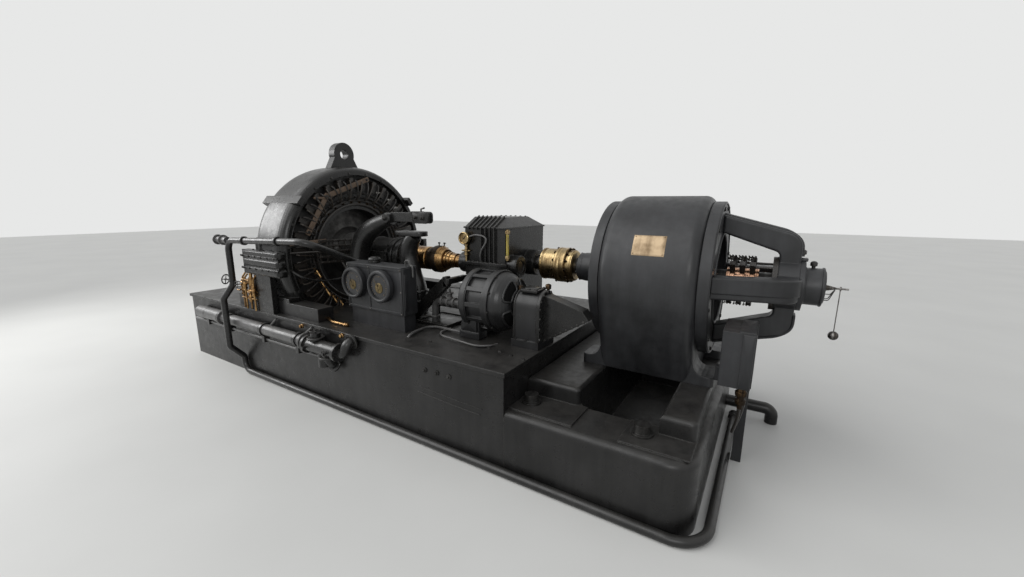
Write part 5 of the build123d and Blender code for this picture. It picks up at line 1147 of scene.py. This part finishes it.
def makeLeftEnd(s):
    body = [(0, 0), (0.012, 0), (0.012, 0.012), (0.024, 0.014), (0.024, 0.034), (0.017, 0.038), (0.020, 0.052),
            (0.027, 0.066), (0.020, 0.082), (0.017, 0.092), (0.024, 0.096), (0.024, 0.114), (0.012, 0.118),
            (0.012, 0.14), (0, 0.14)]
    flats = [0, 0, 0, 1, 1, 0, 0, 0, 0, 0, 1, 1, 0, 0, 0]
    cock = turned(body, 24, flats)
    level = [(-1.60, -1.15, s["levels"][2]), (-1.47, -1.16, s["levels"][1])]
    shapes = [stamped(cock, s["cocks"], (0, 0, 1), (1, 0.1, 0)), stamped(cock, level, (1, 0, 0), (0, 0.1, 1), 0.9)]
    for x, y, z in s["cocks"]:
        shapes.append(bent([(x, y, 0.735), (x, y, z + 0.02)], 0.010, 12, 0.02))
        shapes.append(bent([(x, y, z + 0.12), (x, y, 1.055), (x + 0.03, y + 0.02, 1.10)], 0.009, 10, 0.02, 4))
        shapes.append(pipe([(x, y, z + 0.066), (x, y - 0.05, z + 0.066)], 0.007, 10))
        shapes.append(pipe([(x - 0.028, y - 0.048, z + 0.066), (x + 0.028, y - 0.048, z + 0.066)], 0.007, 10))
    for z, (a, b) in zip(s["levels"], s["levelEnds"]):
        shapes.append(pipe([(a, -1.155, z), ((a + b) / 2, -1.16, z), (b, -1.155, z)], 0.0095, 12))
    addPiece("headerCocks", shapes, "warmBrass")
    x, y, z = s["wheel"]
    stem = bent([(x, y, z), (-1.72, y, z), (-1.61, -1.155, z)], 0.008, 10, 0.03, 4)
    addPiece("headerWheel", [wheelAt((x, y, z), (-1, -0.4, 0.1), 0.05), stem,
                             wheelAt((-1.515, -1.25, 1.0), (0, -1, 0), 0.032),
                             pipe([(-1.515, -1.245, 1.0), (-1.515, -1.165, 1.0)], 0.006, 8)], "darkSteel")
    ring = turned(band(0.030, 0.052, 0.014, 0.003), 28)
    stubs = [pipe(spotsOf([-1.80, -1.70, -1.61], -1.235, s["railZ"]), 0.035, 20),
             stamped(ring, spotsOf([-1.81, -1.70], -1.235, s["railZ"]), (1, 0, 0)),
             pipe([(-1.315, -1.10, 1.357), (-1.315, -1.10, 1.42), (-1.30, -1.09, 1.47)], 0.019, 14),
             pipe([(-1.235, -1.12, 1.357), (-1.235, -1.12, 1.44)], 0.016, 14)]
    addPiece("paleStubs", stubs, "greyPaint")
    clamps = [stamped(turned(band(0.029, 0.043, 0.03, 0.004), 24),
                      [(-1.30, -1.2351, 1.4515), (-0.72, -1.2351, 1.475)], (1, 0, 0.045))]
    clamps += [bar((-1.455, -1.203, z), (-0.802, -1.203, z), 0.02, 0.008, (0, -1, 0)) for z in s["strapZ"]]
    addPiece("headerClamps", clamps, "machinePaint")
    spots = np.concatenate([spotsOf(np.linspace(-1.41, -0.85, 6), -1.207, z) for z in s["strapZ"]])
    lugs = [[-1.105 + dx, y, 1.36] for dx in (-0.18, 0.0, 0.18) for y in (-1.16, -1.09)]
    addPiece("headerBolts", [frontBolts(spots, 0.009), topBolts(lugs, 0.009)], "darkSteel")


makeLeftEnd(leftEnd)
print("left end dressed")

# Bed front: sleeve, rings and elbows of the cooling main, rods up to the bed, plugs, seams and small bolts.
# An elbow is its line, bend and steps; a collar is its place and the direction its pipe takes there.
front = {"main": (-1.21, 0.58), "valve": (-1.234, 0.574), "plugs": [(0.952, 0.597), (1.07, 0.600), (1.184, 0.596)],
         "topBolts": [(1.298, -0.812), (1.417, -0.839), (1.530, -0.866), (1.644, -0.887), (0.823, -0.95),
                      (1.134, -0.835)],
         "seam": [(0.870, 0.408), (1.215, 0.387), (1.456, 0.378)], "bedFace": -1.15, "bedTop": 0.7351}


def makeFront(s):
    y, z = s["main"]
    ring = turned(band(0.05, 0.082, 0.022, 0.004), 32)
    pale = [collar((-2.5, y, z), 0.05, 0.067, 0.50, 40, edge=0.006),
            stamped(ring, [(-1.99, y, z), (-1.965, y, z), (-0.47, y, z)], (1, 0, 0))]
    for a, b in (((-1.19, -1.225, 0.50), (-0.985, -1.171, 0.70)), ((-0.62, -1.225, 0.54), (-0.40, -1.171, 0.71))):
        pale.append(bent([a, b], 0.011, 10, 0.02))
    addPiece("mainSleeve", pale, "greyPaint")
    y, z = s["valve"]
    runs = [([(0.0, y, z), (0.115, y, z), (0.15, y + 0.01, 0.665), (0.15, -1.16, 0.69)], 0.06, 6),
            ([(-0.10, y, z), (-0.10, y, 0.47), (-0.10, -1.16, 0.42)], 0.06, 6),
            ([(-0.26, y, z), (-0.26, y, 0.66), (-0.26, y, 0.70)], 0.03, 4)]
    collars = [((0.02, y, z), (1, 0, 0)), ((-0.10, y, 0.50), (0, 0, 1)), ((0.15, -1.19, 0.682), (0, 1, 0.3)),
               ((-0.26, y, 0.645), (0, 0, 1)), ((-0.10, -1.185, 0.437), (0, 1, -0.5))]
    elbows = [bent(line, 0.042, 20, bend, steps) for line, bend, steps in runs]
    elbows += [stamped(ring, place, way, (0.1, 0.2, 0.9), 0.9) for place, way in collars]
    stem = turned([(0, 0), (0.03, 0), (0.034, 0.02), (0.02, 0.03), (0.012, 0.035), (0.012, 0.07), (0, 0.07)], 20)
    elbows.append(stamped(stem, spotsOf([-0.04, -0.33], y - 0.025, z), (0, -1, 0)))
    addPiece("mainElbows", elbows, "pipePaint")
    bolts = []
    for x, side in ((0.067, 1), (-0.391, -1)):
        places, _ = polar(x, y, z, 0.07, np.arange(6) * 60 + 15)
        bolts.append(alongBolts(places, 0.008, side))
    bolts.append(wheelAt((-0.26, y, 0.722), (0, 0, 1), 0.045))
    bolts.append(wheelAt((-0.04, -1.318, z), (0, -1, 0), 0.026))
    bolts.append(topBolts([(*spot, s["bedTop"]) for spot in s["topBolts"]], 0.012))
    plug = turned([(0, 0), (1, 0), (1, 0.25), (0.9, 0.4), (0.5, 0.4), (0.45, 0.9), (0.3, 1.0), (0, 1.0)], 24,
                  [0, 0, 0, 0, 1, 1, 0, 0])
    bolts.append(stamped(plug, [(x, s["bedFace"] - 0.0005, k) for x, k in s["plugs"]], (0, -1, 0), (0.1, 0, 1),
                         0.020))
    addPiece("frontBolts", bolts, "darkSteel")
    line = np.array([(x, s["bedFace"] - 0.001, k) for x, k in s["seam"]])
    seams = [pipe(line, 0.004, 8), pipe(line + (0.02, 0, 0.045), 0.003, 8)]
    addPiece("frontSeams", seams, "bedPaint")
    brass = turned([(0, 0), (1, 0), (1, 0.5), (0.7, 0.6), (0.7, 1.3), (0.4, 1.5), (0, 1.5)], 20,
                   [0, 1, 1, 0, 0, 0, 0])
    cocks = [stamped(brass, [(-0.55, -1.169, 0.70), (0.03, -1.169, 0.71)], (0, -1, 0), (0.1, 0, 1), 0.022),
             bent([(-0.62, -1.0, 0.75), (-0.40, -1.0, 0.76), (-0.30, -1.04, 0.752), (-0.10, -1.04, 0.752)], 0.014,
                  12, 0.05),
             stamped(brass, [(-0.62, -1.0, 0.75), (-0.10, -1.04, 0.752)], [(-1, 0, 0), (1, 0, 0)], (0, 0.1, 1),
                     0.024)]
    addPiece("frontCocks", cocks, "warmBrass")


makeFront(front)
print("bed front dressed")

# Floor and light: plain pale floor, a dim soft sky, a wide soft sun and two large soft lamps
stage = {"floorColor": (0.62, 0.62, 0.60), "skyHigh": (0.42, 0.43, 0.45), "skyLow": (0.34, 0.335, 0.32),
         "seen": (0.80, 0.805, 0.80), "sunFrom": (-5.0, -4.5, 6.5), "sunAngle": 55.0, "sunPower": 1.5,
         "lamps": [("windowLamp", (-6.5, -3.2, 3.6), (-1.0, -0.2, 1.3), (3.2, 2.4), 150.0),
                   ("frontLamp", (4.5, -7.0, 4.2), (0.6, 0.0, 0.9), (4.0, 3.0), 120.0)]}


def makeStage(s):
    floorMesh = bpy.data.meshes.new("floor")
    u = np.linspace(-1, 1, 9)
    points = np.stack([*np.meshgrid(u * 30, u * 30, indexing="ij"), np.zeros((9, 9))], -1).reshape(-1, 3)
    floorMesh.from_pydata(points.tolist(), [], gridFaces(9, 9, wrapV=False)[:, ::-1].tolist())
    floor = bpy.data.objects.new("floor", floorMesh)
    bpy.context.scene.collection.objects.link(floor)
    material = bpy.data.materials.new("floor")
    material.use_nodes = True
    tree = material.node_tree
    surface = tree.nodes["Principled BSDF"]
    place = addNode(tree, "TexCoord")["Object"]
    tone = scaled(tree, noise(tree, place, 0.8, 3.0, 0.5), 0.3, 0.7, 0.97, 1.03)
    tree.links.new(blended(tree, 1.0, (*s["floorColor"], 1), tone, "MULTIPLY"), surface.inputs["Base Color"])
    surface.inputs["Roughness"].default_value = 0.55
    floorMesh.materials.append(material)
    world = bpy.data.worlds.new("sky")
    bpy.context.scene.world = world
    world.use_nodes = True
    sky = world.node_tree
    way = addNode(sky, "TexCoord")["Generated"]
    rise = scaled(sky, addNode(sky, "SeparateXYZ", {0: way})["Z"], -0.3, 0.9, 0.0, 1.0)
    light = blended(sky, rise, (*s["skyLow"], 1), (*s["skyHigh"], 1))
    rays = addNode(sky, "LightPath")
    seen = maths(sky, "MAXIMUM", rays["Is Camera Ray"], maths(sky, "MAXIMUM", rays["Is Glossy Ray"],
                                                              rays["Is Transmission Ray"]))
    background = sky.nodes["Background"]
    sky.links.new(blended(sky, seen, light, (*s["seen"], 1)), background.inputs["Color"])
    background.inputs["Strength"].default_value = 1.0
    sun = bpy.data.lights.new("softSun", "SUN")
    sun.energy = s["sunPower"]
    sun.angle = radians(s["sunAngle"])
    sunObject = bpy.data.objects.new("softSun", sun)
    bpy.context.scene.collection.objects.link(sunObject)
    sunObject.matrix_world = Matrix(axesOf(s["sunFrom"], (0, 0, 1))[0].tolist()).to_4x4()
    for name, place, aim, size, power in s["lamps"]:
        lamp = bpy.data.lights.new(name, "AREA")
        lamp.shape = "RECTANGLE"
        lamp.size, lamp.size_y = size
        lamp.energy = power
        lampObject = bpy.data.objects.new(name, lamp)
        bpy.context.scene.collection.objects.link(lampObject)
        axes = axesOf(np.array(place) - np.array(aim), (0, 0, 1))[0]
        turn = Matrix(axes.tolist()).to_4x4()
        turn.translation = place
        lampObject.matrix_world = turn
    bpy.context.scene.view_settings.view_transform = "Standard"


makeStage(stage)
print("stage set")
